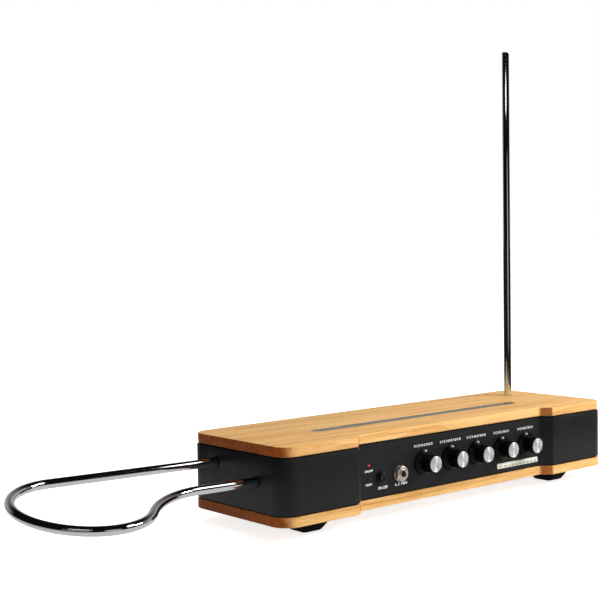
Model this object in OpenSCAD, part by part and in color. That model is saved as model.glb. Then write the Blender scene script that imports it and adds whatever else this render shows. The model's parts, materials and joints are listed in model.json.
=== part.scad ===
// Theremin: a low wood and steel cabinet with an upright pitch rod and a side volume loop.
// X runs to the right along the front panel, Y runs from front to back, Z is up.
// The origin is the mouth of the stand socket, in the middle of the cabinet's underside.

/* [Cabinet] */
// Overall width of the cabinet
cabinet_w = 477; // [462:1:522]
// Overall depth of the cabinet
cabinet_d = 145.5; // [142:0.5:162]
// Thickness of each wood board
board_t = 9.5; // [8:0.5:12]
// Height of the steel case, gaps included, between the boards
case_h = 55; // [52:1:65]
// Radius of the cabinet's four upright corners
corner_r = 18; // [12:1:24]
// Width of the front panel between the two steps
panel_w = 270; // [264:1:290]
// How far the front panel is set back
panel_setback = 10.2; // [8:0.1:12]
// Radius where a step meets the front
step_r = 4; // [2:0.5:5]
// How far the top board's edge is set in from the case
top_inset = 1; // [0:0.1:1.5]

/* [Steel case] */
// Thickness of the case's steel sheet
sheet_t = 1.5; // [1.2:0.1:2]
// Height of the dark gap at each board
reveal_h = 1.5; // [1:0.1:2]
// How far the dark gap goes in
reveal_in = 2.5; // [2:0.1:4]
// Width of the flange that the base is screwed to
flange_w = 12.5; // [11:0.5:14]
// Thickness of the front panel
panel_t = 2; // [1.5:0.1:2.5]
// Gap round the front panel
panel_gap = 0.2; // [0.1:0.05:0.4]

/* [Inlay and plate] */
// Length of the inlay strip in the top board
inlay_l = 302; // [270:1:310]
// Width of the inlay strip
inlay_w = 15; // [10:0.5:18]
// Thickness of the inlay strip
inlay_t = 2; // [1:0.5:3]
// Distance of the inlay's middle in front of the cabinet's middle
inlay_forward = 11.5; // [5:0.5:20]
// Length of the small plate on the front panel
plate_l = 66.5; // [50:0.5:72]
// Height of the small plate
plate_h = 5.5; // [4:0.5:7]
// Thickness of the small plate
plate_t = 0.8; // [0.5:0.1:1.2]

/* [Knobs] */
// Distance of the first knob's middle from the panel's left edge
knob_left = 86.8; // [84:0.1:90]
// Distance of the last knob's middle from the panel's right edge
knob_right = 25.2; // [23:0.1:28]
// Height of a knob's face above the panel
knob_h = 17.5; // [16:0.5:20]
// Diameter of a knob's skirt
skirt_d = 26; // [22:0.5:28]
// Diameter of a knob's grip at its base
grip_d = 18.8; // [18.4:0.2:20]
// Diameter of the metal disc on a knob's face
cap_d = 16; // [13:0.5:16]
// Thickness of the metal disc
cap_t = 0.8; // [0.6:0.1:1.2]
// Number of flutes round a knob
flutes = 18; // [12:1:24]
// Diameter of a control shaft
shaft_d = 6; // [5:0.1:6]
// Diameter of a control's threaded bush
bush_d = 7.4; // [7.2:0.1:8]
// Width and height of a control's body
control_w = 16; // [14:0.5:18]
// Depth of a control's body
control_depth = 9; // [8:0.5:11]

/* [Lights and mute button] */
// Diameter of an indicator light
led_d = 3; // [2:0.5:4]
// Distance of the lights from the panel's left edge
led_left = 11; // [10:0.5:14]
// Height of the upper light above the lower one
led_pitch = 13; // [10:0.5:15]
// Height of the lower row of panel parts above the cabinet's underside
lower_row_z = 30; // [29:0.5:31]
// Distance of the mute button from the panel's left edge
mute_left = 26.5; // [25:0.5:30]
// Diameter of the mute button
mute_d = 8; // [6:0.5:9]
// How far the mute button stands out of the panel
mute_out = 4.8; // [4:0.1:7]
// How far the mute button presses in
mute_travel = 1.5; // [1:0.1:2]

/* [Sockets and switch] */
// Diameter of the hole in an audio socket
jack_bore_d = 6.5; // [6.4:0.05:6.6]
// Diameter of an audio socket's threaded neck
jack_neck_d = 9.5; // [9:0.1:10]
// How far an audio socket's neck stands out
jack_out = 6; // [5.5:0.1:7]
// Depth of an audio socket's body behind the wall
jack_body_l = 26.5; // [24:0.5:30]
// Distance of the phones socket from the panel's left edge
phones_left = 53; // [51:0.5:55]
// Place of the audio socket on the back, from the middle
audio_x = 75; // [65:1:90]
// Place of the power inlet on the back, from the middle
inlet_x = 112; // [105:1:118]
// Diameter of the power inlet's hole
inlet_bore_d = 5.6; // [5.5:0.1:6.4]
// Place of the power switch on the back, from the middle
switch_x = 150; // [140:1:160]
// Angle of the power rocker to each side of its middle
rocker_tilt = 10; // [8:1:10]

/* [Pitch antenna] */
// Diameter of both antennas' rod
rod_d = 8.4; // [8:0.1:9.6]
// Length of the upright rod above the top board
pitch_h = 405; // [350:1:460]
// Distance of the upright rod from the cabinet's right end
pitch_right = 41.5; // [38:0.5:48]
// Place of the upright rod, behind the cabinet's middle
pitch_y = 35.2; // [25:0.5:38]

/* [Volume antenna] */
// Distance between the loop's two legs
leg_gap = 63.4; // [60:0.2:68]
// Height of the middle between the legs above the cabinet's underside
leg_mid_z = 43.8; // [42:0.1:45]
// Sideways slope of the loop, front leg lower
loop_slope = 9.7; // [8:0.1:11]
// Upward tilt of the loop away from the cabinet
loop_rise = 1.1; // [0:0.1:2]
// Distance of the loop's middle from the cabinet's end
loop_reach = 180; // [175:1:210]
// Radius of the loop, to the middle of the rod
loop_r = 59.5; // [57:0.5:62]
// Radius of the bend between the front leg and the loop
bend_r = 95; // [80:1:105]
// Depth of the rod in a socket
rod_grip = 45; // [40:1:50]
// Outer diameter of an antenna socket
socket_d = 12; // [11.6:0.1:13]

/* [Feet and stand socket] */
// Width of a foot at its top
foot_top_w = 39.5; // [32:0.5:41]
// Width of a foot at its bottom
foot_bottom_w = 22; // [18:0.5:24]
// Height of a foot
foot_h = 14.4; // [11:0.2:16]
// Distance of a foot's middle from the cabinet's end
foot_end = 56.5; // [52:0.5:62]
// Distance of a foot from the cabinet's middle, along the depth
foot_y = 35.5; // [30:0.5:37]
// Diameter of the hole in the stand socket's thread
stand_bore_d = 14.86; // [14.7:0.02:15]
// Diameter of the stand socket's flange
stand_flange_d = 44; // [36:1:48]
// Outer diameter of the stand socket's barrel
stand_barrel_d = 21; // [18:0.5:24]

/* [Boards inside] */
// Height of the pillars under the main circuit board
pillar_h = 6; // [5.6:0.2:7]
// Thickness of a circuit board
circuit_t = 1.6; // [1.2:0.1:2]
// Distance of the main circuit board from the cabinet's left end
circuit_left = 50.5; // [46:0.5:55]
// Distance of the main circuit board from the cabinet's right end
circuit_right = 26.5; // [22:0.5:32]
// Width of the main circuit board
circuit_w = 90; // [85:1:95]
// Height of an antenna coil
coil_h = 26; // [20:1:26]

/* [Hidden] */

$fn = 48;

// Fits
run_clear = 0.05;
fit_clear = 0.1;
hole_clear = 0.15;
eps = 0.01;
through = 1;

// Levels, from the cabinet's underside up
case_z0 = board_t;
case_z1 = board_t + case_h;
top_z = case_z1 + board_t;
wall_z0 = case_z0 + reveal_h;
wall_z1 = case_z1 - reveal_h;
plate_z1 = wall_z1 - sheet_t;
floor_z = wall_z0 + sheet_t;
circuit_z = wall_z0 + pillar_h;
circuit_top = circuit_z + circuit_t;

// Planes, from front to back
front_y = -cabinet_d / 2;
back_y = cabinet_d / 2;
panel_y = front_y + panel_setback;
panel_back_y = panel_y + panel_t;
control_back = panel_t + control_depth;

// Colours
wood = "#d9ae74";
black = "#232323";
board_green = "#2f5d3a";
metal = "#b9bcc0";

// Front panel
panel_mid_z = case_z0 + case_h / 2;
jamb_w = 0.8;
return_w = 6.5;
plate_right = 5.2;
plate_up = 3;
stud_d = 2.5;
stud_l = 7.5;
stud_side = 3;
stud_x = panel_w / 2 - stud_side;
stud_edge = 9;
stud_dz = case_h / 2 - stud_edge;
stud_nut_d = 5.6;
stud_nut_t = 2;

// Knobs, their pointers' angles from straight up, and what is under them
knob_count = 5;
knob_pitch = (panel_w - knob_left - knob_right) / (knob_count - 1);
knob_angles = [116, 150, 140, 148, 67];
knob_gap = 0.7;
skirt_rim = 1.4;
skirt_rise = 2.2;
grip_draft = 0.4;
cap_proud = 0.3;
flute_d = 2;
flute_start = 0.5;
pointer_w = 1;
pointer_depth = 0.4;
pointer_l = 3;
flat_cut = 1.4;
control_nut_d = 11.6;
control_nut_t = 2;
bush_out = 4.8;
shaft_out = knob_h - 3.6;
shaft_in = control_back - 3;
knob_pocket_d = control_nut_d + 2.4;
knob_pocket_z = bush_out + 0.7;

// Lights and mute button
led_x = panel_w / 2 - led_left;
mute_x = panel_w / 2 - mute_left;
led_rim = 0.8;
led_behind = 2;
led_leg_w = 0.5;
led_leg_x = 1.27;
mute_neck_d = 3;
mute_stem = 1.6;
bezel_wall = 1.6;
bezel_t = 1.4;
switch_w = 8.4;
switch_room = 0.6;

// Audio sockets
phones_x = panel_w / 2 - phones_left;
jack_body_w = 20;
jack_body_h = 16;
jack_end_wall = 1;
washer_t = 1;
washer_rim = 3.2;
nut_flat = 14.3;
nut_t = 3.8;
hex_corner = 1 / cos(30);

// Power inlet and switch
inlet_flange = 2.6;
inlet_flange_t = 1.5;
inlet_wall = 2;
inlet_l = 13;
inlet_pin_d = 2;
rocker_w = 9;
rocker_half_h = 7.2;
rocker_pin_d = 2;
rocker_pin_l = 1.6;
rocker_side = 0.3;
switch_wall = 1.6;
switch_rim = 1.1;
switch_rim_t = 1.6;
switch_cavity = 4.6;
switch_depth = 13;

// Antenna sockets and bushes
pitch_x = cabinet_w / 2 - pitch_right;
bush_rim = 3;
bush_rim_t = 2;
bush_wall = 2.2;
collar_wall = 1.3;
collar_out = 1.5;
socket_end = 2;
rod_seat = 0.1;
rod_hole_clear = 0.3;
lug_t = 1;
lug_w = 6;
lug_reach = 11;
bend_straight = 2;
link_lap = 0.3;
link_swell = 0.06;
strap_t = 4;
strap_w = 14;
strap_in = 24;

// Screws
screw_d = 3;
screw_head_d = 5.6;
screw_head_t = 2.2;
case_screw_end = 33.5;
case_screw_x = cabinet_w / 2 - case_screw_end;
case_screw_in_front = 7.5;
case_screw_in_back = 8;
case_screw_front = panel_y + case_screw_in_front;
case_screw_back = back_y - case_screw_in_back;
case_screw_sink = 4;
top_screw_in_front = 17.5;
top_screw_in_back = 17;
top_screw_front = panel_y + top_screw_in_front;
top_screw_back = back_y - top_screw_in_back;
top_screw_bite = 6;
foot_x = cabinet_w / 2 - foot_end;
foot_screw_seat = 8.2;
foot_screw_bite = 6;
foot_recess_d = 8;
stand_flange_t = 2.5;
stand_cap_t = 1.2;
stand_barrel_h = wall_z0 + pillar_h - 1.6;

// Circuit boards, coils and leads
circuit_l = cabinet_w - circuit_left - circuit_right;
circuit_mid_x = (circuit_left - circuit_right) / 2;
circuit_mid_y = 3;
pillar_d = 5.6;
pillar_in = 6;
panel_board_z0 = circuit_top + 2;
panel_board_z1 = case_z1 - 8;
coil_d = 18;
coil_core_d = 13;
coil_rim = 2;
coil_end = 78.5;
coil_x = cabinet_w / 2 - coil_end;
coil_y = 20;
lead_d = 1.6;
lead_r = 4;
lead_top = plate_z1 - 5;
chip_count = 6;
chip_pitch = 34;
chip_x0 = -90;
chip_y = 12;
chip_l = 20;
chip_w = 8;
chip_h = 4;
can_count = 4;
can_pitch = 50;
can_x0 = -75;
can_y = -12;
can_w = 10;
can_h = 12;

// Points along an arc, from angle a0 to a1
function arc(cx, cy, r, a0, a1, n) =
  [for (k = [0:n]) let (a = a0 + (a1 - a0) * k / n) [cx + r * cos(a), cy + r * sin(a)]];

// Right half of the cabinet's outline, set in by i
function half_outline(i) =
  let (
    slant = i * (sqrt(2) - 1),
    inner_x = panel_w / 2 + slant,
    outer_x = inner_x + panel_setback,
    inner_r = step_r + i,
    outer_r = max(step_r - i, 0.2),
    tip = tan(22.5),
    r = max(corner_r - i, 0.5),
    cx = cabinet_w / 2 - i - r,
    cy = cabinet_d / 2 - i - r
  )
  concat(
    arc(inner_x - inner_r * tip, panel_y + i - inner_r, inner_r, 90, 45, 4),
    arc(outer_x + outer_r * tip, front_y + i + outer_r, outer_r, 270 - 45, 270, 4),
    arc(cx, -cy, r, 270, 360, 12),
    arc(cx, cy, r, 0, 90, 12)
  );

function mirrored(points) = [for (k = [len(points) - 1:-1:0]) [-points[k][0], points[k][1]]];

// Outline of the cabinet seen from above, set in by i
module outline(i = 0) {
  half = half_outline(i);
  polygon(concat(half, mirrored(half)));
}

// A slab of the cabinet's outline between two levels
module slab(z0, z1, i = 0) {
  translate([0, 0, z0])
    linear_extrude(z1 - z0)
      outline(i);
}

// Puts its children at a place on the front panel, with Z out of the panel
module on_front(x, z) {
  translate([x, panel_y, z])
    rotate([90, 0, 0])
      children();
}

// Puts its children at a place on the back wall, with Z out of the wall
module on_back(x, z) {
  translate([x, back_y, z])
    rotate([90, 0, 180])
      children();
}

// Puts its children in the volume loop's own plane, with X into the cabinet
module on_loop() {
  translate([-cabinet_w / 2, 0, leg_mid_z])
    rotate([loop_slope, loop_rise, 0])
      children();
}

// A round bar along X from x0 to x1
module bar_x(x0, x1, d) {
  translate([x0, 0, 0])
    rotate([0, 90, 0])
      cylinder(d = d, h = x1 - x0);
}

// A round post from level z0 to level z1
module post(z0, z1, d) {
  translate([0, 0, z0])
    cylinder(d = d, h = z1 - z0);
}

// A block centred on X and Y, from level z0 to level z1
module block(w, h, z0, z1) {
  translate([-w / 2, -h / 2, z0])
    cube([w, h, z1 - z0]);
}

// A quarter of a ring of round bar, in the XY plane, from angle a0
module ring_part(r, d, a0, sweep) {
  rotate([0, 0, a0])
    rotate_extrude(angle = sweep, $fn = 96)
      translate([r, 0])
        circle(d = d);
}

function knob_x(k) = knob_left - panel_w / 2 + (k - 1) * knob_pitch;

module at_case_screws() {
  for (x = [-case_screw_x, 0, case_screw_x], y = [case_screw_front, case_screw_back])
    translate([x, y, 0])
      children();
}

module at_top_screws() {
  for (x = [-case_screw_x, 0, case_screw_x], y = [top_screw_front, top_screw_back])
    translate([x, y, 0])
      children();
}

module at_feet() {
  for (x = [-foot_x, foot_x], y = [-foot_y, foot_y])
    translate([x, y, 0])
      children();
}

module at_studs() {
  for (x = [-stud_x, stud_x], z = [panel_mid_z - stud_dz, panel_mid_z + stud_dz])
    on_front(x, z)
      children();
}

module at_pillars() {
  for (x = [-1, 0, 1], y = [-1, 1])
    translate([
      circuit_mid_x + x * (circuit_l / 2 - pillar_in),
      circuit_mid_y + y * (circuit_w / 2 - pillar_in),
      0
    ])
      children();
}

// A strip with round ends along X
module strip(l, w) {
  square([l - w, w], center = true);
  for (x = [-1, 1])
    translate([x * (l - w) / 2, 0])
      circle(d = w, $fn = 64);
}

// Wood boards, inlay and steel case

module bottom_board() {
  color(wood)
    difference() {
      slab(0, board_t);
      translate([0, 0, -through])
        cylinder(d = stand_barrel_d + 2 * fit_clear, h = board_t + 2 * through);
      translate([0, 0, -through])
        cylinder(d = stand_flange_d + 2 * fit_clear, h = stand_flange_t + through);
      at_case_screws() {
        post(-through, board_t + through, screw_d + 2 * hole_clear);
        post(-through, case_screw_sink, screw_head_d + 4 * hole_clear);
      }
      at_feet()
        post(-through, foot_screw_bite + 1, screw_d + 2 * fit_clear);
    }
}

module top_board() {
  color(wood)
    difference() {
      slab(case_z1, top_z, top_inset);
      translate([pitch_x, pitch_y, 0])
        post(case_z1 - through, top_z + through, rod_d + 2 * rod_hole_clear);
      translate([0, -inlay_forward, top_z - inlay_t - 2 * fit_clear])
        linear_extrude(inlay_t + through)
          strip(inlay_l + 2 * fit_clear, inlay_w + 2 * fit_clear);
      at_top_screws()
        post(case_z1 - through, case_z1 + top_screw_bite + 1, screw_d + 2 * fit_clear);
    }
}

module top_inlay() {
  color("#3b3733")
    translate([0, -inlay_forward, top_z - inlay_t - 2 * fit_clear])
      linear_extrude(inlay_t)
        strip(inlay_l, inlay_w);
}

// Everything that the case's walls are cut for
module case_cuts() {
  translate([-panel_w / 2 + jamb_w, front_y, wall_z0 - through])
    cube([panel_w - 2 * jamb_w, panel_back_y - front_y, wall_z1 - wall_z0 + 2 * through]);
  translate([-panel_w / 2 + return_w, front_y, floor_z])
    cube([panel_w - 2 * return_w, panel_setback + panel_t + sheet_t + through, plate_z1 - floor_z]);
  translate([-cabinet_w / 2 + flange_w, panel_back_y + flange_w, wall_z0 - through])
    cube([cabinet_w - 2 * flange_w, back_y - panel_back_y - 2 * flange_w, sheet_t + 2 * through]);
  at_case_screws()
    post(wall_z0 - through, floor_z + through, screw_d + 2 * fit_clear);
  at_top_screws()
    post(plate_z1 - through, case_z1 + through, screw_d + 2 * hole_clear);
  at_studs()
    post(-panel_t - sheet_t - through, through, stud_d + 2 * hole_clear);
  translate([pitch_x, pitch_y, 0])
    post(plate_z1 - through, case_z1 + through, rod_d + 2 * (run_clear + bush_wall + fit_clear));
  on_loop()
    for (y = [-1, 1])
      translate([0, y * leg_gap / 2, 0])
        bar_x(-through, 2 * bush_rim_t, rod_d + 2 * (run_clear + bush_wall + fit_clear));
  on_back(audio_x, panel_mid_z)
    post(-sheet_t - through, through, jack_neck_d + 2 * fit_clear);
  on_back(inlet_x, panel_mid_z)
    post(-sheet_t - through, through, inlet_body_d() + 2 * fit_clear);
  on_back(switch_x, panel_mid_z)
    block(switch_body_w() + 2 * hole_clear, switch_body_h() + 2 * hole_clear, -sheet_t - through, through);
}

// Wall, top plate, bottom flange and the two returns behind the front panel
module case_shell() {
  color(black)
    difference() {
      union() {
        difference() {
          slab(wall_z0, wall_z1);
          slab(floor_z, plate_z1, sheet_t);
        }
        for (side = [-1, 1])
          translate([side * (panel_w / 2 + sheet_t / 2 - return_w / 2), panel_back_y, wall_z0])
            block(return_w + sheet_t, 2 * sheet_t, 0, wall_z1 - wall_z0);
        slab(wall_z1 - eps, case_z1, reveal_in);
      }
      case_cuts();
    }
}

module base_plate() {
  color(black)
    difference() {
      slab(case_z0, wall_z0, reveal_in);
      post(case_z0 - through, wall_z0 + through, stand_barrel_d + 2 * fit_clear);
      at_case_screws()
        post(case_z0 - through, wall_z0 + through, screw_d + 2 * hole_clear);
    }
}

module front_panel() {
  w = panel_w - 2 * (jamb_w + panel_gap);
  color("#2c2c2e") {
    difference() {
      translate([-w / 2, panel_y, wall_z0 + panel_gap])
        cube([w, panel_t, wall_z1 - wall_z0 - 2 * panel_gap]);
      for (k = [1:knob_count])
        on_front(knob_x(k), panel_mid_z)
          post(-panel_t - through, through, bush_d + 2 * fit_clear);
      for (z = [lower_row_z, lower_row_z + led_pitch])
        on_front(-led_x, z)
          post(-panel_t - through, through, led_d + 2 * fit_clear);
      on_front(-mute_x, lower_row_z)
        post(-panel_t - through, through, mute_d + 4 * fit_clear);
      on_front(-phones_x, lower_row_z)
        post(-panel_t - through, through, jack_neck_d + 2 * fit_clear);
    }
    at_studs()
      post(-panel_t - stud_l, -panel_t, stud_d);
  }
}

module panel_nuts() {
  color(metal)
    at_studs()
      difference() {
        translate([0, 0, -panel_t - sheet_t - stud_nut_t])
          cylinder(d = stud_nut_d, h = stud_nut_t, $fn = 6);
        post(-panel_t - stud_l, 0, stud_d + 2 * fit_clear);
      }
}

module name_plate() {
  color("#e9e4cf")
    on_front(panel_w / 2 - plate_l / 2 - plate_right, case_z0 + plate_h + plate_up)
      block(plate_l, plate_h, 0, plate_t);
}

// Feet, screws and stand socket

module foot() {
  top = foot_top_w / 2;
  bottom = foot_bottom_w / 2;
  side = [[-top, 0], [-bottom, -foot_h], [bottom, -foot_h], [top, 0]];
  difference() {
    intersection() {
      rotate([90, 0, 0])
        linear_extrude(foot_top_w, center = true)
          polygon(side);
      rotate([90, 0, 90])
        linear_extrude(foot_top_w, center = true)
          polygon(side);
    }
    post(-foot_h - through, -foot_screw_seat + screw_head_t, foot_recess_d);
    post(-foot_h, through, screw_d + 2 * hole_clear);
  }
}

module feet() {
  color("#161616")
    at_feet()
      foot();
}

// A screw with its shank up from z_head to z_tip and its head below z_head
module screw_up(z_head, z_tip) {
  post(z_head - screw_head_t, z_head, screw_head_d);
  post(z_head, z_tip, screw_d);
}

module foot_screws() {
  color(metal)
    at_feet()
      screw_up(-foot_screw_seat + screw_head_t, foot_screw_bite);
}

module case_screws() {
  color(metal)
    at_case_screws()
      screw_up(case_screw_sink, floor_z);
}

module top_screws() {
  color(metal)
    at_top_screws()
      screw_up(plate_z1, case_z1 + top_screw_bite);
}

module stand_socket() {
  color(metal)
    difference() {
      union() {
        post(0, stand_flange_t, stand_flange_d);
        post(0, stand_barrel_h, stand_barrel_d);
      }
      post(-through, stand_barrel_h - stand_cap_t, stand_bore_d);
    }
}

// Knobs and controls

module knob(k) {
  face = knob_h - cap_proud;
  rim = knob_gap + skirt_rim;
  foot = rim + skirt_rise;
  color("#101010")
    on_front(knob_x(k), panel_mid_z)
      rotate([0, 0, -knob_angles[k - 1]])
        difference() {
          rotate_extrude()
            polygon([
              [0, knob_gap],
              [skirt_d / 2, knob_gap],
              [skirt_d / 2, rim],
              [grip_d / 2, foot],
              [grip_d / 2 - grip_draft, face],
              [0, face]
            ]);
          for (f = [0:flutes - 1])
            rotate([0, 0, 90 + (f + 0.5) * 360 / flutes])
              translate([grip_d / 2 + flute_d / 8, 0, 0])
                post(foot - flute_start, face + through, flute_d);
          post(0, knob_pocket_z, knob_pocket_d);
          shaft_shape(0, shaft_out + fit_clear, shaft_d + 2 * run_clear);
          post(knob_h - cap_t, knob_h + through, cap_d + 2 * run_clear);
          translate([0, grip_d / 2 - grip_draft - pointer_depth + pointer_l / 2, 0])
            block(pointer_w, pointer_l, face - pointer_l, face + through);
        }
}

module knob_cap(k) {
  color("#d5d6d8")
    on_front(knob_x(k), panel_mid_z)
      post(knob_h - cap_t, knob_h, cap_d);
}

// A round shaft with one flat, from level z0 to level z1
module shaft_shape(z0, z1, d) {
  difference() {
    post(z0, z1, d);
    translate([0, d / 2 - flat_cut + d, 0])
      block(2 * d, 2 * d, z0 - through, z1 + through);
  }
}

module control_shaft(k) {
  color(metal)
    on_front(knob_x(k), panel_mid_z)
      rotate([0, 0, -knob_angles[k - 1]]) {
        post(-shaft_in, bush_out, shaft_d);
        shaft_shape(bush_out - eps, shaft_out, shaft_d);
      }
}

module control(k) {
  color("#3d5a46")
    on_front(knob_x(k), panel_mid_z)
      difference() {
        union() {
          block(control_w, control_w, -control_back, -panel_t);
          post(-panel_t - eps, bush_out, bush_d);
        }
        post(-shaft_in - fit_clear, bush_out + through, shaft_d + 2 * run_clear);
      }
}

module control_nuts() {
  color(metal)
    for (k = [1:knob_count])
      on_front(knob_x(k), panel_mid_z)
        difference() {
          cylinder(d = control_nut_d, h = control_nut_t, $fn = 6);
          post(-through, control_nut_t + through, bush_d + 2 * fit_clear);
        }
}

// Lights and mute button

module led(z, shade) {
  color(shade)
    on_front(-led_x, z) {
      rotate_extrude() {
        translate([0, -panel_t - led_behind])
          square([led_d / 2, panel_t + led_behind]);
        translate([0, -panel_t - led_behind])
          square([led_d / 2 + led_rim / 2, led_rim]);
        intersection() {
          circle(d = led_d);
          square(led_d);
        }
      }
      for (x = [-led_leg_x / 2, led_leg_x / 2])
        translate([x, 0, 0])
          block(led_leg_w, led_leg_w, -control_back, -panel_t - led_behind + eps);
    }
}

module mute_button() {
  color("#151515")
    on_front(-mute_x, lower_row_z) {
      post(-panel_t, mute_out, mute_d);
      post(-panel_t - mute_travel - switch_room - mute_stem, -panel_t + eps, mute_neck_d);
    }
}

module mute_switch() {
  color("#444444")
    on_front(-mute_x, lower_row_z)
      difference() {
        block(switch_w, switch_w, -control_back, -panel_t - mute_travel - switch_room);
        post(
          -panel_t - 2 * (mute_travel + switch_room) - mute_stem,
          -panel_t,
          mute_neck_d + 2 * fit_clear
        );
      }
}

module mute_bezel() {
  color("#1c1c1c")
    on_front(-mute_x, lower_row_z)
      difference() {
        post(0, bezel_t, mute_d + 4 * fit_clear + 2 * bezel_wall);
        post(-through, bezel_t + through, mute_d + 4 * fit_clear);
      }
}

// Audio sockets

module jack(wall) {
  difference() {
    union() {
      block(jack_body_w, jack_body_h, -wall - jack_body_l, -wall);
      post(-wall - eps, jack_out, jack_neck_d);
    }
    post(-wall - jack_body_l + jack_end_wall, jack_out + through, jack_bore_d);
  }
}

module phones_jack() {
  color("#a9a49a")
    on_front(-phones_x, lower_row_z)
      jack(panel_t);
}

module audio_jack() {
  color("#a9a49a")
    on_back(audio_x, panel_mid_z)
      jack(sheet_t);
}

module at_jacks() {
  on_front(-phones_x, lower_row_z)
    children();
  on_back(audio_x, panel_mid_z)
    children();
}

module jack_washers() {
  color(metal)
    at_jacks()
      difference() {
        post(0, washer_t, jack_neck_d + 2 * washer_rim);
        post(-through, washer_t + through, jack_neck_d + 2 * fit_clear);
      }
}

module jack_nuts() {
  color(metal)
    at_jacks()
      difference() {
        translate([0, 0, washer_t])
          rotate([0, 0, 30])
            cylinder(d = nut_flat * hex_corner, h = nut_t, $fn = 6);
        post(-through, washer_t + nut_t + through, jack_neck_d + 2 * fit_clear);
      }
}

// Power inlet and switch

function inlet_body_d() = inlet_bore_d + 2 * inlet_wall;
function switch_body_w() = rocker_w + 2 * (rocker_side + switch_wall);
function switch_body_h() = 2 * (rocker_half_h + rocker_side + 0.6 + switch_wall);

module dc_inlet() {
  color("#1a1a1a")
    on_back(inlet_x, panel_mid_z) {
      difference() {
        union() {
          post(-inlet_l, 0, inlet_body_d());
          post(0, inlet_flange_t, inlet_body_d() + inlet_flange);
        }
        post(-inlet_l + inlet_wall, inlet_flange_t + through, inlet_bore_d);
      }
      post(-inlet_l + inlet_wall - eps, -1, inlet_pin_d);
    }
}

module power_switch() {
  color("#1a1a1a")
    on_back(switch_x, panel_mid_z)
      difference() {
        union() {
          block(switch_body_w(), switch_body_h(), -switch_depth, 0);
          block(switch_body_w() + 2 * switch_rim, switch_body_h() + 2 * switch_rim, 0, switch_rim_t);
        }
        block(
          rocker_w + 2 * rocker_side,
          switch_body_h() - 2 * switch_wall,
          -switch_cavity,
          switch_rim_t + through
        );
        bar_x(
          -rocker_w / 2 - rocker_pin_l,
          rocker_w / 2 + rocker_pin_l,
          rocker_pin_d + 2 * run_clear
        );
      }
}

module power_rocker() {
  reach = rocker_half_h;
  color("#101010")
    on_back(switch_x, panel_mid_z)
      rotate([rocker_tilt, 0, 0]) {
        rotate([90, 0, 90])
          linear_extrude(rocker_w, center = true)
            polygon([[-3, -2], [3, -2], [reach, 1.2], [reach, 3.8], [0, 2.6], [-reach, 3.8], [-reach, 1.2]]);
        bar_x(-rocker_w / 2 - rocker_pin_l + fit_clear, rocker_w / 2 + rocker_pin_l - fit_clear, rocker_pin_d);
      }
}

// Pitch antenna

pitch_seat_z = circuit_top + socket_end;
bush_bore_d = rod_d + 2 * run_clear;
bush_neck_d = bush_bore_d + 2 * bush_wall;

module pitch_antenna() {
  color("#c8cbcf")
    translate([pitch_x, pitch_y, 0])
      post(pitch_seat_z + rod_seat, top_z + pitch_h, rod_d);
}

module pitch_bush() {
  color("#e8e6df")
    translate([pitch_x, pitch_y, 0])
      difference() {
        union() {
          post(plate_z1 - bush_rim_t, plate_z1, bush_neck_d + 2 * bush_rim);
          post(plate_z1 - eps, case_z1, bush_neck_d);
        }
        post(plate_z1 - bush_rim_t - through, case_z1 + through, bush_bore_d);
      }
}

module pitch_socket() {
  color("#c9a85c")
    translate([pitch_x, pitch_y, 0])
      difference() {
        union() {
          post(circuit_top, plate_z1 - bush_rim_t, socket_d);
          rotate([0, 0, lead_angle()])
            translate([lug_reach / 2 + socket_d / 4, 0, 0])
              block(lug_reach, lug_w, lug_z(), lug_z() + lug_t);
        }
        post(pitch_seat_z, plate_z1 + through, bush_bore_d);
      }
}

function lug_z() = circuit_top + coil_h + 2;
function lead_angle() = atan2(coil_y - pitch_y, coil_x - pitch_x);

// Volume antenna, in the loop's plane

legs_y = leg_gap / 2;
loop_y = legs_y - loop_r;
bend_y = -legs_y - bend_r;
link_l = norm([loop_r + bend_r, bend_straight]);
link_turn = atan2(bend_straight, loop_r + bend_r);
link_angle = asin((loop_y - bend_y) / link_l);
bend_x = -loop_reach + link_l * cos(link_angle);
bend_angle = link_angle + link_turn;

module volume_antenna() {
  color("#c8cbcf")
    on_loop() {
      translate([0, legs_y, 0])
        bar_x(-loop_reach, rod_grip, rod_d);
      translate([-loop_reach, loop_y, 0])
        ring_part(loop_r, rod_d, 90, 270 - bend_angle);
      translate([-loop_reach, loop_y, 0])
        rotate([0, 0, -bend_angle])
          translate([loop_r, 0, 0])
            rotate([0, 0, 90])
              bar_x(-link_lap, bend_straight + link_lap, rod_d + link_swell);
      translate([bend_x, bend_y, 0])
        ring_part(bend_r, rod_d, 90, 90 - bend_angle);
      translate([0, -legs_y, 0])
        bar_x(bend_x, rod_grip, rod_d);
    }
}

module volume_bushes() {
  color("#1b1b1b")
    on_loop()
      for (y = [-legs_y, legs_y])
        translate([0, y, 0])
          difference() {
            union() {
              bar_x(-collar_out, 0.2 + eps, bush_bore_d + 2 * collar_wall);
              bar_x(0.2, bush_rim_t, bush_neck_d);
              bar_x(sheet_t + 0.3, sheet_t + 0.3 + bush_rim_t, bush_neck_d + 2 * bush_rim);
            }
            bar_x(-collar_out - through, sheet_t + bush_rim_t + through, bush_bore_d);
          }
}

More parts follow.
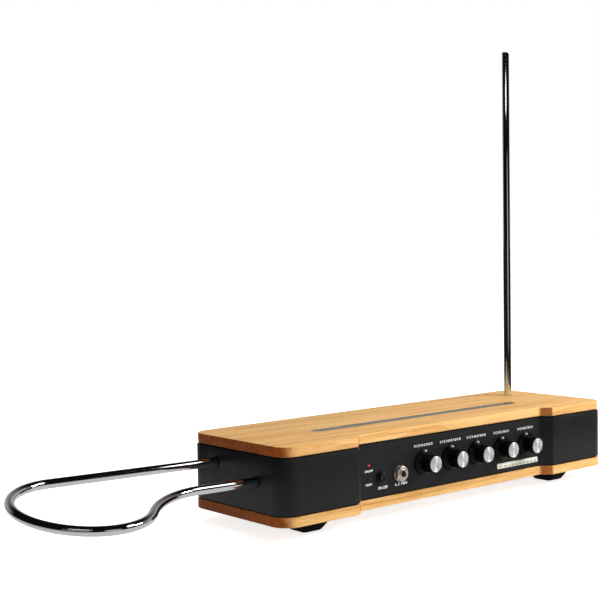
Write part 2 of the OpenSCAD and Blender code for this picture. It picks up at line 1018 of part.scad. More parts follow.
module volume_socket() {
  start = sheet_t + 0.3 + bush_rim_t;
  color("#c9a85c")
    difference() {
      union() {
        on_loop() {
          for (y = [-legs_y, legs_y])
            translate([0, y, 0])
              bar_x(start, rod_grip + rod_seat + socket_end, socket_d);
          translate([strap_in, -legs_y, -strap_t / 2])
            cube([strap_w, leg_gap, strap_t]);
        }
        translate([-cabinet_w / 2 + strap_in + strap_w / 2, 0, 0])
          post(leg_mid_z - strap_t / 2, lug_z() + lug_t, strap_t);
      }
      on_loop()
        for (y = [-legs_y, legs_y])
          translate([0, y, 0])
            bar_x(0, rod_grip + rod_seat, bush_bore_d);
    }
}

// Circuit boards, coils and leads

module main_board() {
  color(board_green)
    difference() {
      union() {
        translate([circuit_mid_x, circuit_mid_y, 0])
          block(circuit_l, circuit_w, circuit_z, circuit_top);
        for (c = [0:chip_count - 1])
          translate([chip_x0 + chip_pitch * c, chip_y, 0])
            block(chip_l, chip_w, circuit_top - eps, circuit_top + chip_h);
        for (c = [0:can_count - 1])
          translate([can_x0 + can_pitch * c, can_y, 0])
            block(can_w, can_w, circuit_top - eps, circuit_top + can_h);
      }
      at_pillars()
        post(circuit_z - through, circuit_top + through, screw_d + 2 * hole_clear);
    }
}

module panel_board() {
  left = -led_x - 3;
  right = knob_x(knob_count) + control_w / 2;
  color(board_green)
    difference() {
      translate([left, panel_y + control_back, panel_board_z0])
        cube([right - left, circuit_t, panel_board_z1 - panel_board_z0]);
      translate([-phones_x - jack_body_w / 2 - 1, panel_y, panel_board_z0 - through])
        cube([jack_body_w + 2, jack_body_l, lower_row_z + jack_body_h / 2 + 1 - panel_board_z0 + through]);
    }
}

module board_pillars() {
  color(metal)
    at_pillars()
      difference() {
        post(wall_z0, circuit_z, pillar_d);
        post(wall_z0 + 1, circuit_z + through, screw_d + 2 * fit_clear);
      }
}

module board_screws() {
  color(metal)
    at_pillars() {
      post(circuit_top, circuit_top + screw_head_t, screw_head_d);
      post(circuit_z - pillar_h + 1.6, circuit_top + eps, screw_d);
    }
}

module coil(x) {
  color("#8a4b2a")
    translate([x, coil_y, circuit_top])
      rotate_extrude()
        polygon([
          [0, 0],
          [coil_d / 2, 0],
          [coil_d / 2, coil_rim],
          [coil_core_d / 2, coil_rim],
          [coil_core_d / 2, coil_h - coil_rim],
          [coil_d / 2, coil_h - coil_rim],
          [coil_d / 2, coil_h],
          [0, coil_h]
        ]);
}

// A wire that rises from one point, runs level at lead_top and comes down on another
module lead(from, to) {
  run = norm([to[0] - from[0], to[1] - from[1]]);
  translate([from[0], from[1], 0])
    rotate([0, 0, atan2(to[1] - from[1], to[0] - from[0])]) {
      post(from[2], lead_top - lead_r, lead_d);
      translate([lead_r, 0, lead_top - lead_r])
        rotate([90, 0, 0])
          ring_part(lead_r, lead_d, 90, 90);
      translate([0, 0, lead_top])
        bar_x(lead_r, run - lead_r, lead_d);
      translate([run - lead_r, 0, lead_top - lead_r])
        rotate([90, 0, 0])
          ring_part(lead_r, lead_d, 0, 90);
      translate([run, 0, 0])
        post(to[2], lead_top - lead_r, lead_d);
    }
}

module antenna_leads() {
  tip = lug_reach + socket_d / 4 - 2;
  color("#a33030") {
    lead(
      [coil_x, coil_y, circuit_top + coil_h],
      [pitch_x + tip * cos(lead_angle()), pitch_y + tip * sin(lead_angle()), lug_z() + lug_t]
    );
    lead(
      [-coil_x, coil_y, circuit_top + coil_h],
      [-cabinet_w / 2 + strap_in + strap_w / 2, 0, lug_z() + lug_t]
    );
  }
}

bottom_board();
top_board();
top_inlay();
case_shell();
base_plate();
front_panel();
name_plate();
feet();
foot_screws();
case_screws();
top_screws();
panel_nuts();
stand_socket();
knob(1);  // knob_1
knob(2);  // knob_2
knob(3);  // knob_3
knob(4);  // knob_4
knob(5);  // knob_5
knob_cap(1);  // knob_cap_1
knob_cap(2);  // knob_cap_2
knob_cap(3);  // knob_cap_3
knob_cap(4);  // knob_cap_4
knob_cap(5);  // knob_cap_5
control_shaft(1);  // control_shaft_1
control_shaft(2);  // control_shaft_2
control_shaft(3);  // control_shaft_3
control_shaft(4);  // control_shaft_4
control_shaft(5);  // control_shaft_5
control(1);  // control_1
control(2);  // control_2
control(3);  // control_3
control(4);  // control_4
control(5);  // control_5
control_nuts();
led(lower_row_z + led_pitch, "#d02030");  // power_led
led(lower_row_z, "#5a1015");  // mute_led
mute_button();
mute_switch();
mute_bezel();
phones_jack();
audio_jack();
jack_nuts();
jack_washers();
dc_inlet();
power_switch();
power_rocker();
pitch_antenna();
pitch_socket();
pitch_bush();
volume_antenna();
volume_socket();
volume_bushes();
main_board();
panel_board();
board_pillars();
board_screws();
coil(coil_x);  // pitch_coil
coil(-coil_x);  // volume_coil
antenna_leads();
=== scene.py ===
"""Theremin: the fine shapes, finishes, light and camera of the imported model.

Lengths are in millimetres until a mesh is placed, and heights are from the cabinet's underside.
"""

import json
import logging
import math
from collections.abc import Callable, Sequence
from dataclasses import dataclass
from enum import Enum
from typing import Any

import bmesh
import bpy
from mathutils import Matrix, Quaternion, Vector

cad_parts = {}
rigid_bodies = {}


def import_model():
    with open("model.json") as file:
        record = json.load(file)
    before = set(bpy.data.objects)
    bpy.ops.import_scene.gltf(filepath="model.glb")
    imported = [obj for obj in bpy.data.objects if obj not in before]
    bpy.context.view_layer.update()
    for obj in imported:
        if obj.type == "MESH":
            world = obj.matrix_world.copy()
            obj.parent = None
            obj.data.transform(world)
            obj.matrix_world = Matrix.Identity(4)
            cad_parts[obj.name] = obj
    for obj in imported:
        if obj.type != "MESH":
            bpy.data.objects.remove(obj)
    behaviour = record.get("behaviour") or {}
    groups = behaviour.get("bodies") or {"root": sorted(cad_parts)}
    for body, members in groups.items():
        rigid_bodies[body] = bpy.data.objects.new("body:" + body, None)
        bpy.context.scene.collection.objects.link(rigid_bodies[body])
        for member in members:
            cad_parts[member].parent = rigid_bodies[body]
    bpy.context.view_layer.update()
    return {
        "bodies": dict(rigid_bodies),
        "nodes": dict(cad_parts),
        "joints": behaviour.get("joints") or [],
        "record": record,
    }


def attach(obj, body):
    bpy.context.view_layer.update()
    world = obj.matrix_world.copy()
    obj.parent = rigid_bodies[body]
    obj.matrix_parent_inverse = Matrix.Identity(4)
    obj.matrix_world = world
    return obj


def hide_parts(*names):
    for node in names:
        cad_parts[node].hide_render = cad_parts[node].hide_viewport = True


LOG = logging.getLogger("theremin")
MM = 0.001
CABINET = "cabinet"
Point = tuple[float, float]
Triple = tuple[float, float, float]
Colour = Triple


# Sizes shared by several sub-assemblies


@dataclass(frozen=True)
class CabinetForm:
    """Sizes and outline of the cabinet, which every other piece is set against."""

    width: float = 477.0
    depth: float = 145.5
    board: float = 9.5
    case: float = 55.0
    corner: float = 18.0
    panel_width: float = 270.0
    setback: float = 10.2
    top_inset: float = 1.0
    step: float = 4.0
    reveal: float = 1.5
    reveal_in: float = 2.5
    sheet: float = 1.5
    bend_steps: int = 8
    corner_steps: int = 24
    rod_at: Point = (197.0, 35.2)
    audio_x: float = 75.0
    inlet_x: float = 112.0
    switch_x: float = 150.0
    screw_x: Sequence[float] = (-205.0, 0.0, 205.0)
    screw_front: float = 7.5
    screw_back: float = 8.0

    @property
    def top(self) -> float:
        """Height of the top board's upper face."""
        return 2 * self.board + self.case

    @property
    def front(self) -> float:
        """Y of the cabinet's front."""
        return -self.depth / 2

    @property
    def panel(self) -> float:
        """Y of the front panel's face."""
        return self.front + self.setback

    @property
    def back(self) -> float:
        """Y of the cabinet's back."""
        return self.depth / 2

    @property
    def middle(self) -> float:
        """Height of the middle of the case."""
        return self.board + self.case / 2

    @staticmethod
    def arc(cx: float, cy: float, r: float, a0: float, a1: float, steps: int) -> list[Point]:
        """Points along an arc.

        Args:
            cx: X of the centre.
            cy: Y of the centre.
            r: Radius.
            a0: First angle in degrees.
            a1: Last angle in degrees.
            steps: Number of steps.

        Returns:
            The points, both ends included.
        """
        angles = [math.radians(a0 + (a1 - a0) * k / steps) for k in range(steps + 1)]
        return [(cx + r * math.cos(a), cy + r * math.sin(a)) for a in angles]

    def half(self, inset: float, start_x: float | None = None) -> list[Point]:
        """Right half of the outline, from the panel's line round to the back.

        Args:
            inset: How far the outline is set in.
            start_x: X at which the first arc starts, or None for the whole arc.

        Returns:
            The points of the half.
        """
        tip = math.tan(math.radians(22.5))
        inner_x = self.panel_width / 2 + inset * (math.sqrt(2) - 1)
        outer_x = inner_x + self.setback
        inner_r = self.step + inset
        outer_r = max(self.step - inset, 0.2)
        r = max(self.corner - inset, 0.5)
        cx = self.width / 2 - inset - r
        cy = self.depth / 2 - inset - r
        first_x = inner_x - inner_r * tip
        outer_y = self.front + inset + outer_r
        a0 = 90.0
        if start_x is not None:
            a0 = math.degrees(math.acos(min(max((start_x - first_x) / inner_r, 0.0), 1.0)))
        return (
            self.arc(first_x, self.panel + inset - inner_r, inner_r, a0, 45, self.bend_steps)
            + self.arc(outer_x + outer_r * tip, outer_y, outer_r, 225, 270, self.bend_steps)
            + self.arc(cx, -cy, r, 270, 360, self.corner_steps)
            + self.arc(cx, cy, r, 0, 90, self.corner_steps)
        )

    def outline(self, inset: float = 0.0, start_x: float | None = None) -> list[Point]:
        """Whole outline seen from above, counterclockwise from the front.

        Args:
            inset: How far the outline is set in.
            start_x: Half width of an opening in the front, or None for a closed outline.

        Returns:
            The points of the outline.
        """
        half = self.half(inset, start_x)
        return half + [(-x, y) for x, y in reversed(half)]

    def screw_spots(self) -> list[Point]:
        """Places of the screws that hold the bottom board to the case."""
        rows = (self.panel + self.screw_front, self.back - self.screw_back)
        return [(x, y) for x in self.screw_x for y in rows]

    def on_front(self, x: float, z: float) -> Matrix:
        """Matrix of a place on the front panel, with its Z out of the panel."""
        return self._place((1, 0, 0), (0, 0, 1), (0, -1, 0), (x, self.panel, z))

    def on_back(self, x: float, z: float) -> Matrix:
        """Matrix of a place on the back wall, with its Z out of the wall."""
        return self._place((-1, 0, 0), (0, 0, 1), (0, 1, 0), (x, self.back, z))

    @staticmethod
    def _place(*columns: Sequence[float]) -> Matrix:
        """Matrix with the given columns: X, Y, Z and origin."""
        matrix = Matrix.Identity(4)
        for k, column in enumerate(columns):
            for row in range(3):
                matrix[row][k] = column[row]
        return matrix


@dataclass(frozen=True)
class LoopPlane:
    """The volume antenna's tilted plane and its path."""

    form: CabinetForm
    middle: float = 43.8
    slope: float = 9.7
    rise: float = 1.1
    gap: float = 63.4
    reach: float = 180.0
    radius: float = 59.5
    bend: float = 95.0
    straight: float = 2.0
    grip: float = 45.0
    loop_steps: int = 96
    bend_steps: int = 40

    @property
    def matrix(self) -> Matrix:
        """Matrix of the plane, with its X into the cabinet."""
        turn = Matrix.Rotation(math.radians(self.rise), 4, "Y") @ Matrix.Rotation(
            math.radians(self.slope), 4, "X"
        )
        return Matrix.Translation((-self.form.width / 2, 0, self.middle)) @ turn

    @property
    def legs(self) -> tuple[float, float]:
        """Local Y of the rear and the front leg."""
        return self.gap / 2, -self.gap / 2

    def across(self, y: float) -> Matrix:
        """Matrix of a place on a leg's line at the wall, with its Z into the cabinet."""
        lay = Matrix.Rotation(math.radians(90), 4, "Y")
        return self.matrix @ Matrix.Translation((0, y, 0)) @ lay

    def path(self) -> list[Vector]:
        """Centre line of the rod from the rear leg's end to the front leg's end.

        Returns:
            Points in the plane's own axes.
        """
        rear, front = self.legs
        loop_y = rear - self.radius
        bend_y = front - self.bend
        link = math.hypot(self.radius + self.bend, self.straight)
        angle = math.asin((loop_y - bend_y) / link)
        bend_x = -self.reach + link * math.cos(angle)
        turn = math.degrees(angle + math.atan2(self.straight, self.radius + self.bend))
        arc = CabinetForm.arc
        points = [(self.grip, rear), (0.0, rear), (-self.reach / 2, rear)]
        points += arc(-self.reach, loop_y, self.radius, 90, 360 - turn, self.loop_steps)
        points += arc(bend_x, bend_y, self.bend, 180 - turn, 90, self.bend_steps)
        points += [(0.0, front), (self.grip, front)]
        return [Vector((x, y, 0.0)) for x, y in points]


# Mesh making


class Solid:
    """A mesh under construction, made of rings of points."""

    def __init__(self) -> None:
        """Starts with an empty mesh."""
        self.mesh = bmesh.new()

    def ring(self, points: Sequence[Sequence[float]]) -> list[Any]:
        """Adds a ring of vertices and returns it."""
        return [self.mesh.verts.new(p) for p in points]

    def bridge(self, a: Sequence[Any], b: Sequence[Any], closed: bool = True) -> None:
        """Joins two rings of the same count with faces.

        Args:
            a: First ring.
            b: Second ring.
            closed: Whether the rings close on themselves.
        """
        count = len(a)
        for k in range(count if closed else count - 1):
            n = (k + 1) % count
            self.mesh.faces.new((a[k], a[n], b[n], b[k]))

    def cap(self, *rings: Sequence[Any]) -> None:
        """Fills the flat area between an outer ring and any inner ones."""
        if len(rings) == 1:
            self.mesh.faces.new(rings[0])
            return
        edges = []
        for ring in rings:
            for k, vertex in enumerate(ring):
                other = ring[(k + 1) % len(ring)]
                edges.append(self.mesh.edges.get((vertex, other)) or self.mesh.edges.new((vertex, other)))
        bmesh.ops.triangle_fill(self.mesh, use_beauty=True, edges=edges)

    def loft(self, rings: Sequence[Sequence[Sequence[float]]], ends: bool = True) -> list[list[Any]]:
        """Joins rings in turn into a skin.

        Args:
            rings: Points of each ring.
            ends: Whether the first and last ring are filled.

        Returns:
            The rings' vertices.
        """
        made = [self.ring(r) for r in rings]
        for a, b in zip(made, made[1:]):
            self.bridge(a, b)
        if ends:
            self.cap(made[0])
            self.cap(made[-1])
        return made

    def well(self, x: float, y: float, steps: Sequence[Point], count: int = 48) -> list[list[Any]]:
        """Adds the wall of a round hole.

        Args:
            x: X of its middle.
            y: Y of its middle.
            steps: Radius and height of each step.
            count: Number of points round.

        Returns:
            The rings' vertices.
        """
        return self.loft([circle(x, y, r, z, count) for r, z in steps], ends=False)

    def lathe(
        self,
        profile: Sequence[Point],
        count: int = 64,
        shape: Callable[[float, float, float], float] | None = None,
        loop: bool = False,
    ) -> "Solid":
        """Turns a profile about the Z axis.

        Args:
            profile: Radius and height of each step. A radius of 0 closes an end.
            count: Number of points round.
            shape: Changes a radius, from the radius, height and angle, or None.
            loop: Whether the last step joins the first.

        Returns:
            This solid.
        """
        made: list[list[Any]] = []
        angles = [2 * math.pi * k / count for k in range(count)]
        for r, z in profile:
            if r == 0:
                made.append([self.mesh.verts.new((0, 0, z))])
                continue
            radii = [shape(r, z, a) if shape else r for a in angles]
            made.append(self.ring([(q * math.cos(a), q * math.sin(a), z) for q, a in zip(radii, angles)]))
        pairs = list(zip(made, made[1:])) + ([(made[-1], made[0])] if loop else [])
        for a, b in pairs:
            if len(a) == 1 or len(b) == 1:
                pole, ring = (a, b) if len(a) == 1 else (b, a)
                for k in range(count):
                    self.mesh.faces.new((pole[0], ring[k], ring[(k + 1) % count]))
            else:
                self.bridge(a, b)
        return self

    def tube(
        self,
        path: Sequence[Vector],
        radius: float,
        normal: Vector,
        count: int = 64,
        edge: float = 0.4,
    ) -> "Solid":
        """Sweeps a round bar along a path.

        Args:
            path: Centre line.
            radius: Radius of the bar.
            normal: A direction that no part of the path follows.
            count: Number of points round.
            edge: Size of the rounding at both ends.

        Returns:
            This solid.
        """
        rings = []
        last = len(path) - 1
        for k, p in enumerate(path):
            ahead = (path[min(k + 1, last)] - path[max(k - 1, 0)]).normalized()
            side = normal.cross(ahead).normalized()
            up = ahead.cross(side)
            stops = [(radius, 0.0)]
            if k in (0, last):
                way = 1 if k == 0 else -1
                stops = [
                    (radius - edge, 0.0), (radius - 0.3 * edge, way * 0.3 * edge), (radius, way * edge)
                ]
                stops = stops if k == 0 else stops[::-1]
            for r, shift in stops:
                turned = [2 * math.pi * n / count for n in range(count)]
                rings.append(
                    [p + ahead * shift + (side * math.cos(a) + up * math.sin(a)) * r for a in turned]
                )
        self.loft(rings)
        return self

    def prism(self, outline: Sequence[Point], z0: float, z1: float, edge: float = 0.2) -> "Solid":
        """Raises a convex outline between two levels, with small chamfers.

        Args:
            outline: Points, counterclockwise.
            z0: Lower level.
            z1: Upper level.
            edge: Size of the chamfer, or 0 for none.

        Returns:
            This solid.
        """
        inner = shrink(outline, edge)
        levels = [(inner, z0), (outline, z0 + edge), (outline, z1 - edge), (inner, z1)]
        if edge == 0:
            levels = [(outline, z0), (outline, z1)]
        self.loft([[(x, y, z) for x, y in points] for points, z in levels])
        return self

    def moved(self, matrix: Matrix) -> "Solid":
        """Moves the mesh so far and returns this solid."""
        bmesh.ops.transform(self.mesh, matrix=matrix, verts=self.mesh.verts)
        return self

    def add(self, other: "Solid") -> "Solid":
        """Takes in another solid's mesh.

        Args:
            other: The other solid, which is used up.

        Returns:
            This solid.
        """
        spare = bpy.data.meshes.new("spare")
        other.mesh.to_mesh(spare)
        other.mesh.free()
        self.mesh.from_mesh(spare)
        bpy.data.meshes.remove(spare)
        return self


def shrink(outline: Sequence[Point], by: float) -> list[Point]:
    """Sets an outline's points in.

    Args:
        outline: Points, counterclockwise.
        by: Distance.

    Returns:
        The moved points.
    """
    result = []
    count = len(outline)
    for k, (x, y) in enumerate(outline):
        a = Vector(outline[k - 1])
        b = Vector(outline[(k + 1) % count])
        here = Vector((x, y))
        before = (here - a).normalized()
        after = (b - here).normalized()
        inward = Vector((-before.y - after.y, before.x + after.x))
        length = inward.length or 1.0
        inward /= length
        reach = by / max((inward.x * -before.y + inward.y * before.x), 0.3)
        result.append((x + inward.x * reach, y + inward.y * reach))
    return result


def circle(cx: float, cy: float, r: float, z: float, count: int = 48) -> list[Triple]:
    """Points of a level circle."""
    angles = [2 * math.pi * k / count for k in range(count)]
    return [(cx + r * math.cos(a), cy + r * math.sin(a), z) for a in angles]


def rounded_box(w: float, h: float, r: float, steps: int = 6) -> list[Point]:
    """Rectangle with round corners, centred on the origin.

    Args:
        w: Width.
        h: Height.
        r: Corner radius.
        steps: Steps in a corner.

    Returns:
        Points, counterclockwise.
    """
    points: list[Point] = []
    for a0, sx, sy in ((-90, 1, -1), (0, 1, 1), (90, -1, 1), (180, -1, -1)):
        points += CabinetForm.arc(sx * (w / 2 - r), sy * (h / 2 - r), r, a0, a0 + 90, steps)
    return points


def from_side(a: float) -> float:
    """Angle from the middle of a hexagon's nearest side."""
    return (a + math.pi / 6) % (math.pi / 3) - math.pi / 6


def hex_corner(flat: float) -> float:
    """Distance of a hexagon's corner from its middle, by the width across its flats."""
    return flat / 2 / math.cos(math.pi / 6)


def hex_shape(flat: float, chamfer_at: float, chamfer: float) -> Callable[[float, float, float], float]:
    """Radius rule that turns a lathe's rings into a chamfered hexagon.

    Args:
        flat: Width across the flats.
        chamfer_at: Height at which the chamfer begins.
        chamfer: Fall of the radius per unit of height above it.

    Returns:
        The rule, for rings wider than the flats' half width.
    """

    def rule(r: float, z: float, a: float) -> float:
        """Radius at a height and an angle."""
        if r < flat / 2:
            return r
        limit = hex_corner(flat) - max(z - chamfer_at, 0.0) * chamfer
        return min(flat / 2 / math.cos(from_side(a)), limit)

    return rule


def carve(obj: Any, cutters: Sequence[Solid]) -> None:
    """Cuts holes in a piece for good.

    Args:
        obj: The piece.
        cutters: What is taken away, in metres, in the piece's own place.
    """
    for k, cutter in enumerate(cutters):
        mesh = bpy.data.meshes.new(f"cut_{k}")
        bmesh.ops.recalc_face_normals(cutter.mesh, faces=cutter.mesh.faces)
        cutter.mesh.to_mesh(mesh)
        cutter.mesh.free()
        tool = bpy.data.objects.new(f"cut_{k}", mesh)
        bpy.context.scene.collection.objects.link(tool)
        modifier = obj.modifiers.new(f"cut_{k}", "BOOLEAN")
        modifier.operation = "DIFFERENCE"
        modifier.solver = "EXACT"
        modifier.object = tool
        bpy.context.view_layer.update()
        baked = bpy.data.meshes.new_from_object(obj.evaluated_get(bpy.context.evaluated_depsgraph_get()))
        obj.modifiers.clear()
        old = obj.data
        obj.data = baked
        bpy.data.meshes.remove(old)
        bpy.data.objects.remove(tool)
        bpy.data.meshes.remove(mesh)


# Finishes


class Graph:
    """A node material under construction, with one main shader."""

    edge_range: Point = (0.995, 0.80)

    def __init__(self, name: str, **settings: Any) -> None:
        """Starts a material.

        Args:
            name: Name of the material.
            settings: Values of the shader's own sockets, with _ for a space.
        """
        self.material = bpy.data.materials.new(name)
        self.material.use_nodes = True
        self.tree = self.material.node_tree
        self.shader = self.tree.nodes["Principled BSDF"]
        for key, value in settings.items():
            self.shader.inputs[key.replace("_", " ")].default_value = value
        coordinates = self.tree.nodes.new("ShaderNodeTexCoord")
        self.place = coordinates.outputs["Object"]
        self.facing = coordinates.outputs["Normal"]
        self.spread_out = coordinates.outputs["Generated"]

    def node(self, kind: str, links: dict[Any, Any] | None = None, **settings: Any) -> Any:
        """Adds a node.

        Args:
            kind: Node type without its ShaderNode prefix.
            links: Value or source of each input.
            settings: The node's own settings.

        Returns:
            The node.
        """
        made = self.tree.nodes.new("ShaderNode" + kind)
        for key, value in settings.items():
            setattr(made, key, value)
        for key, value in (links or {}).items():
            if isinstance(value, bpy.types.NodeSocket):
                self.tree.links.new(value, made.inputs[key])
            else:
                made.inputs[key].default_value = value
        return made

    def stretch(self, scale: Sequence[float], source: Any = None) -> Any:
        """Object coordinates with each axis scaled."""
        return self.node("Mapping", {"Vector": source or self.place, "Scale": scale}).outputs["Vector"]

    def noise(
        self,
        scale: float,
        detail: float = 2.0,
        rough: float = 0.5,
        warp: float = 0.0,
        at: Any = None,
    ) -> Any:
        """Noise value from 0 to 1.

        Args:
            scale: Cells per unit of length.
            detail: Number of finer layers.
            rough: Weight of the finer layers.
            warp: Distortion.
            at: Coordinates, or None for the object's own.

        Returns:
            The value's socket.
        """
        links = {
            "Vector": at or self.place,
            "Scale": scale,
            "Detail": detail,
            "Roughness": rough,
            "Distortion": warp,
        }
        return self.node("TexNoise", links).outputs["Fac"]

    def ramp(self, source: Any, *stops: tuple[float, Colour]) -> Any:
        """Colour from a value.

        Args:
            source: The value.
            stops: Place and colour of each stop.

        Returns:
            The colour's socket.
        """
        made = self.node("ValToRGB", {"Fac": source})
        band = made.color_ramp
        while len(band.elements) < len(stops):
            band.elements.new(0.5)
        for element, (at, colour) in zip(band.elements, stops):
            element.position = at
            element.color = (*colour, 1.0)
        return made.outputs["Color"]

    def spread(self, source: Any, low: float, high: float, to_low: float = 0.0, to_high: float = 1.0) -> Any:
        """Maps a value's range on to another, held at both ends."""
        links = {"Value": source, "From Min": low, "From Max": high, "To Min": to_low, "To Max": to_high}
        return self.node("MapRange", links).outputs["Result"]

    def maths(self, operation: str, a: Any, b: Any = 0.0) -> Any:
        """Result of one operation on two values."""
        return self.node("Math", {0: a, 1: b}, operation=operation).outputs[0]

    def vector(self, operation: str, *parts: Any, output: str = "Vector") -> Any:
        """Result of one operation on vectors."""
        return self.node("VectorMath", dict(enumerate(parts)), operation=operation).outputs[output]

    def mix(self, amount: Any, a: Any, b: Any, blend: str = "MIX") -> Any:
        """Mixes two colours.

        Args:
            amount: Share of the second colour.
            a: First colour or its socket.
            b: Second colour or its socket.
            blend: How they are mixed.

        Returns:
            The colour's socket.
        """
        links = {"Factor": amount}
        made = self.node("Mix", links, data_type="RGBA", blend_type=blend)
        for key, value in ((6, a), (7, b)):
            if isinstance(value, bpy.types.NodeSocket):
                self.tree.links.new(value, made.inputs[key])
            else:
                made.inputs[key].default_value = (*value, 1.0)
        return made.outputs[2]

    def bump(self, height: Any, strength: float, distance: float, base: Any = None) -> Any:
        """Normal from a height.

        Args:
            height: The height's socket.
            strength: Strength from 0 to 1.
            distance: Depth in millimetres.
            base: Normal that it starts from, or None for the surface's own.

        Returns:
            The normal's socket.
        """
        links = {"Height": height, "Strength": strength, "Distance": distance * MM}
        if base is not None:
            links["Normal"] = base
        return self.node("Bump", links).outputs["Normal"]

    def edge_wear(self, radius: float = 0.6) -> Any:
        """Value that is 1 on outer edges, from the rounded normal."""
        round_normal = self.node("Bevel", {"Radius": radius * MM}, samples=4).outputs["Normal"]
        flat_normal = self.node("NewGeometry").outputs["Normal"]
        likeness = self.vector("DOT_PRODUCT", round_normal, flat_normal, output="Value")
        return self.spread(likeness, *self.edge_range)

    def feed(self, socket: str, source: Any) -> "Graph":
        """Links a source to one of the shader's sockets and returns this graph."""
        self.tree.links.new(source, self.shader.inputs[socket])
        return self


@dataclass(frozen=True)
class WoodFinish:
    """Light open-grained oak under a satin lacquer, grain along X, end and step faces darkened: partly real
    end grain, partly painted shade.
    """

    name: str
    shift: float = 0.0
    pith: Colour = (0.0, 0.135, -0.06)
    pale: Colour = (0.71, 0.435, 0.168)
    honey: Colour = (0.60, 0.330, 0.105)
    brown: Colour = (0.36, 0.150, 0.036)
    late_wood: Colour = (0.46, 0.205, 0.055)
    pore: Colour = (0.21, 0.080, 0.022)
    end_grain_and_shade_tint: Colour = (0.49, 0.19, 0.015)
    wander: float = 0.016
    ring_scale: float = 34.0
    log_scale: Triple = (0.03, 1.0, 1.0)
    sway_scale: Triple = (5.0, 16.0, 16.0)
    fibre_scale: Triple = (22.0, 640.0, 640.0)
    streak_scale: Triple = (6.0, 170.0, 170.0)
    cloud_scale: Triple = (4.0, 16.0, 16.0)
    pore_scale: Triple = (60.0, 2300.0, 2300.0)
    end_grain_and_shade_from: Point = (0.25, 0.80)
    gloss_range: Point = (0.36, 0.52)

    def make(self) -> Any:
        """Returns the material."""
        g = Graph(self.name, Coat_Weight=0.06, Coat_Roughness=0.38, Coat_IOR=1.45, Specular_IOR_Level=0.16)
        x, y, z = self.pith
        moved = g.node("Mapping", {"Vector": g.place, "Location": (x + self.shift, y, z)}).outputs[0]
        sway = g.noise(1.0, 3.0, 0.5, at=g.stretch(self.sway_scale, moved))
        aside = g.node("CombineXYZ", {"Y": sway, "Z": sway}).outputs[0]
        drift = g.node("VectorMath", {0: aside, "Scale": self.wander}, operation="SCALE").outputs[0]
        log = g.vector("ADD", g.stretch(self.log_scale, moved), drift)
        links = {"Vector": log, "Scale": self.ring_scale}
        links |= {"Distortion": 1.6, "Detail": 3.0, "Detail Scale": 1.8}
        kind = {"wave_type": "RINGS", "rings_direction": "X", "wave_profile": "SAW"}
        rings = g.node("TexWave", links, **kind).outputs["Fac"]
        fibre = g.noise(1.0, 4.0, 0.62, 0.4, g.stretch(self.fibre_scale, moved))
        streak = g.noise(1.0, 3.0, 0.55, 0.3, g.stretch(self.streak_scale, moved))
        cloud = g.noise(1.0, 2.0, 0.5, at=g.stretch(self.cloud_scale, moved))
        pores = g.noise(1.0, 2.0, 0.5, at=g.stretch(self.pore_scale, moved))
        lines = g.maths("MULTIPLY", g.spread(pores, 0.58, 0.68), g.spread(rings, 0.35, 0.95, 0.15, 1.0))
        mixed = g.maths("ADD", g.maths("MULTIPLY", streak, 0.58), g.maths("MULTIPLY", fibre, 0.42))
        base = g.ramp(mixed, (0.33, self.brown), (0.45, self.honey), (0.58, self.pale))
        ringed = g.mix(g.spread(rings, 0.5, 1.0, 0.0, 0.40), base, self.late_wood)
        toned = g.mix(g.spread(cloud, 0.3, 0.7, 0.0, 0.30), ringed, self.honey)
        pored = g.mix(g.maths("MULTIPLY", lines, 0.60), toned, self.pore)
        # End and step faces across the grain: darkened partly as real end grain and partly as painted shade.
        across = g.maths("ABSOLUTE", g.node("SeparateXYZ", {0: g.facing}).outputs["X"])
        ends = g.mix(1.0, pored, self.end_grain_and_shade_tint, "MULTIPLY")
        g.feed("Base Color", g.mix(g.spread(across, *self.end_grain_and_shade_from), pored, ends))
        g.feed("Roughness", g.spread(fibre, 0.3, 0.7, *self.gloss_range))
        height = g.maths("SUBTRACT", g.maths("MULTIPLY", fibre, 0.35), lines)
        g.feed("Normal", g.bump(height, 0.35, 0.08))
        return g.material


@dataclass(frozen=True)
class PowderCoat:
    """Satin black powder coat on steel: fine orange peel, and edges rubbed a little paler."""

    name: str
    tone: float = 0.010
    rough: float = 0.42
    sheen: float = 0.30
    speck: Colour = (0.04, 0.04, 0.042)
    rubbed: Colour = (0.06, 0.06, 0.062)

    def make(self) -> Any:
        """Returns the material."""
        g = Graph(self.name, Roughness=self.rough, Specular_IOR_Level=self.sheen)
        dark: Colour = (self.tone, self.tone, self.tone * 1.04)
        light: Colour = (self.tone * 1.5, self.tone * 1.5, self.tone * 1.55)
        drift = g.noise(14.0, 3.0, 0.6)
        base = g.ramp(drift, (0.35, dark), (0.70, light))
        grain = g.noise(2600.0, 2.0, 0.6)
        specks = g.spread(g.noise(5200.0, 1.0), 0.66, 0.74)
        speckled = g.mix(g.maths("MULTIPLY", specks, 0.20), base, self.speck)
        worn = g.mix(g.maths("MULTIPLY", g.edge_wear(0.5), 0.30), speckled, self.rubbed)
        g.feed("Base Color", worn)
        g.feed("Roughness", g.spread(g.noise(40.0, 3.0), 0.3, 0.7, self.rough - 0.05, self.rough + 0.06))
        g.feed("Normal", g.bump(grain, 0.22, 0.05))
        return g.material


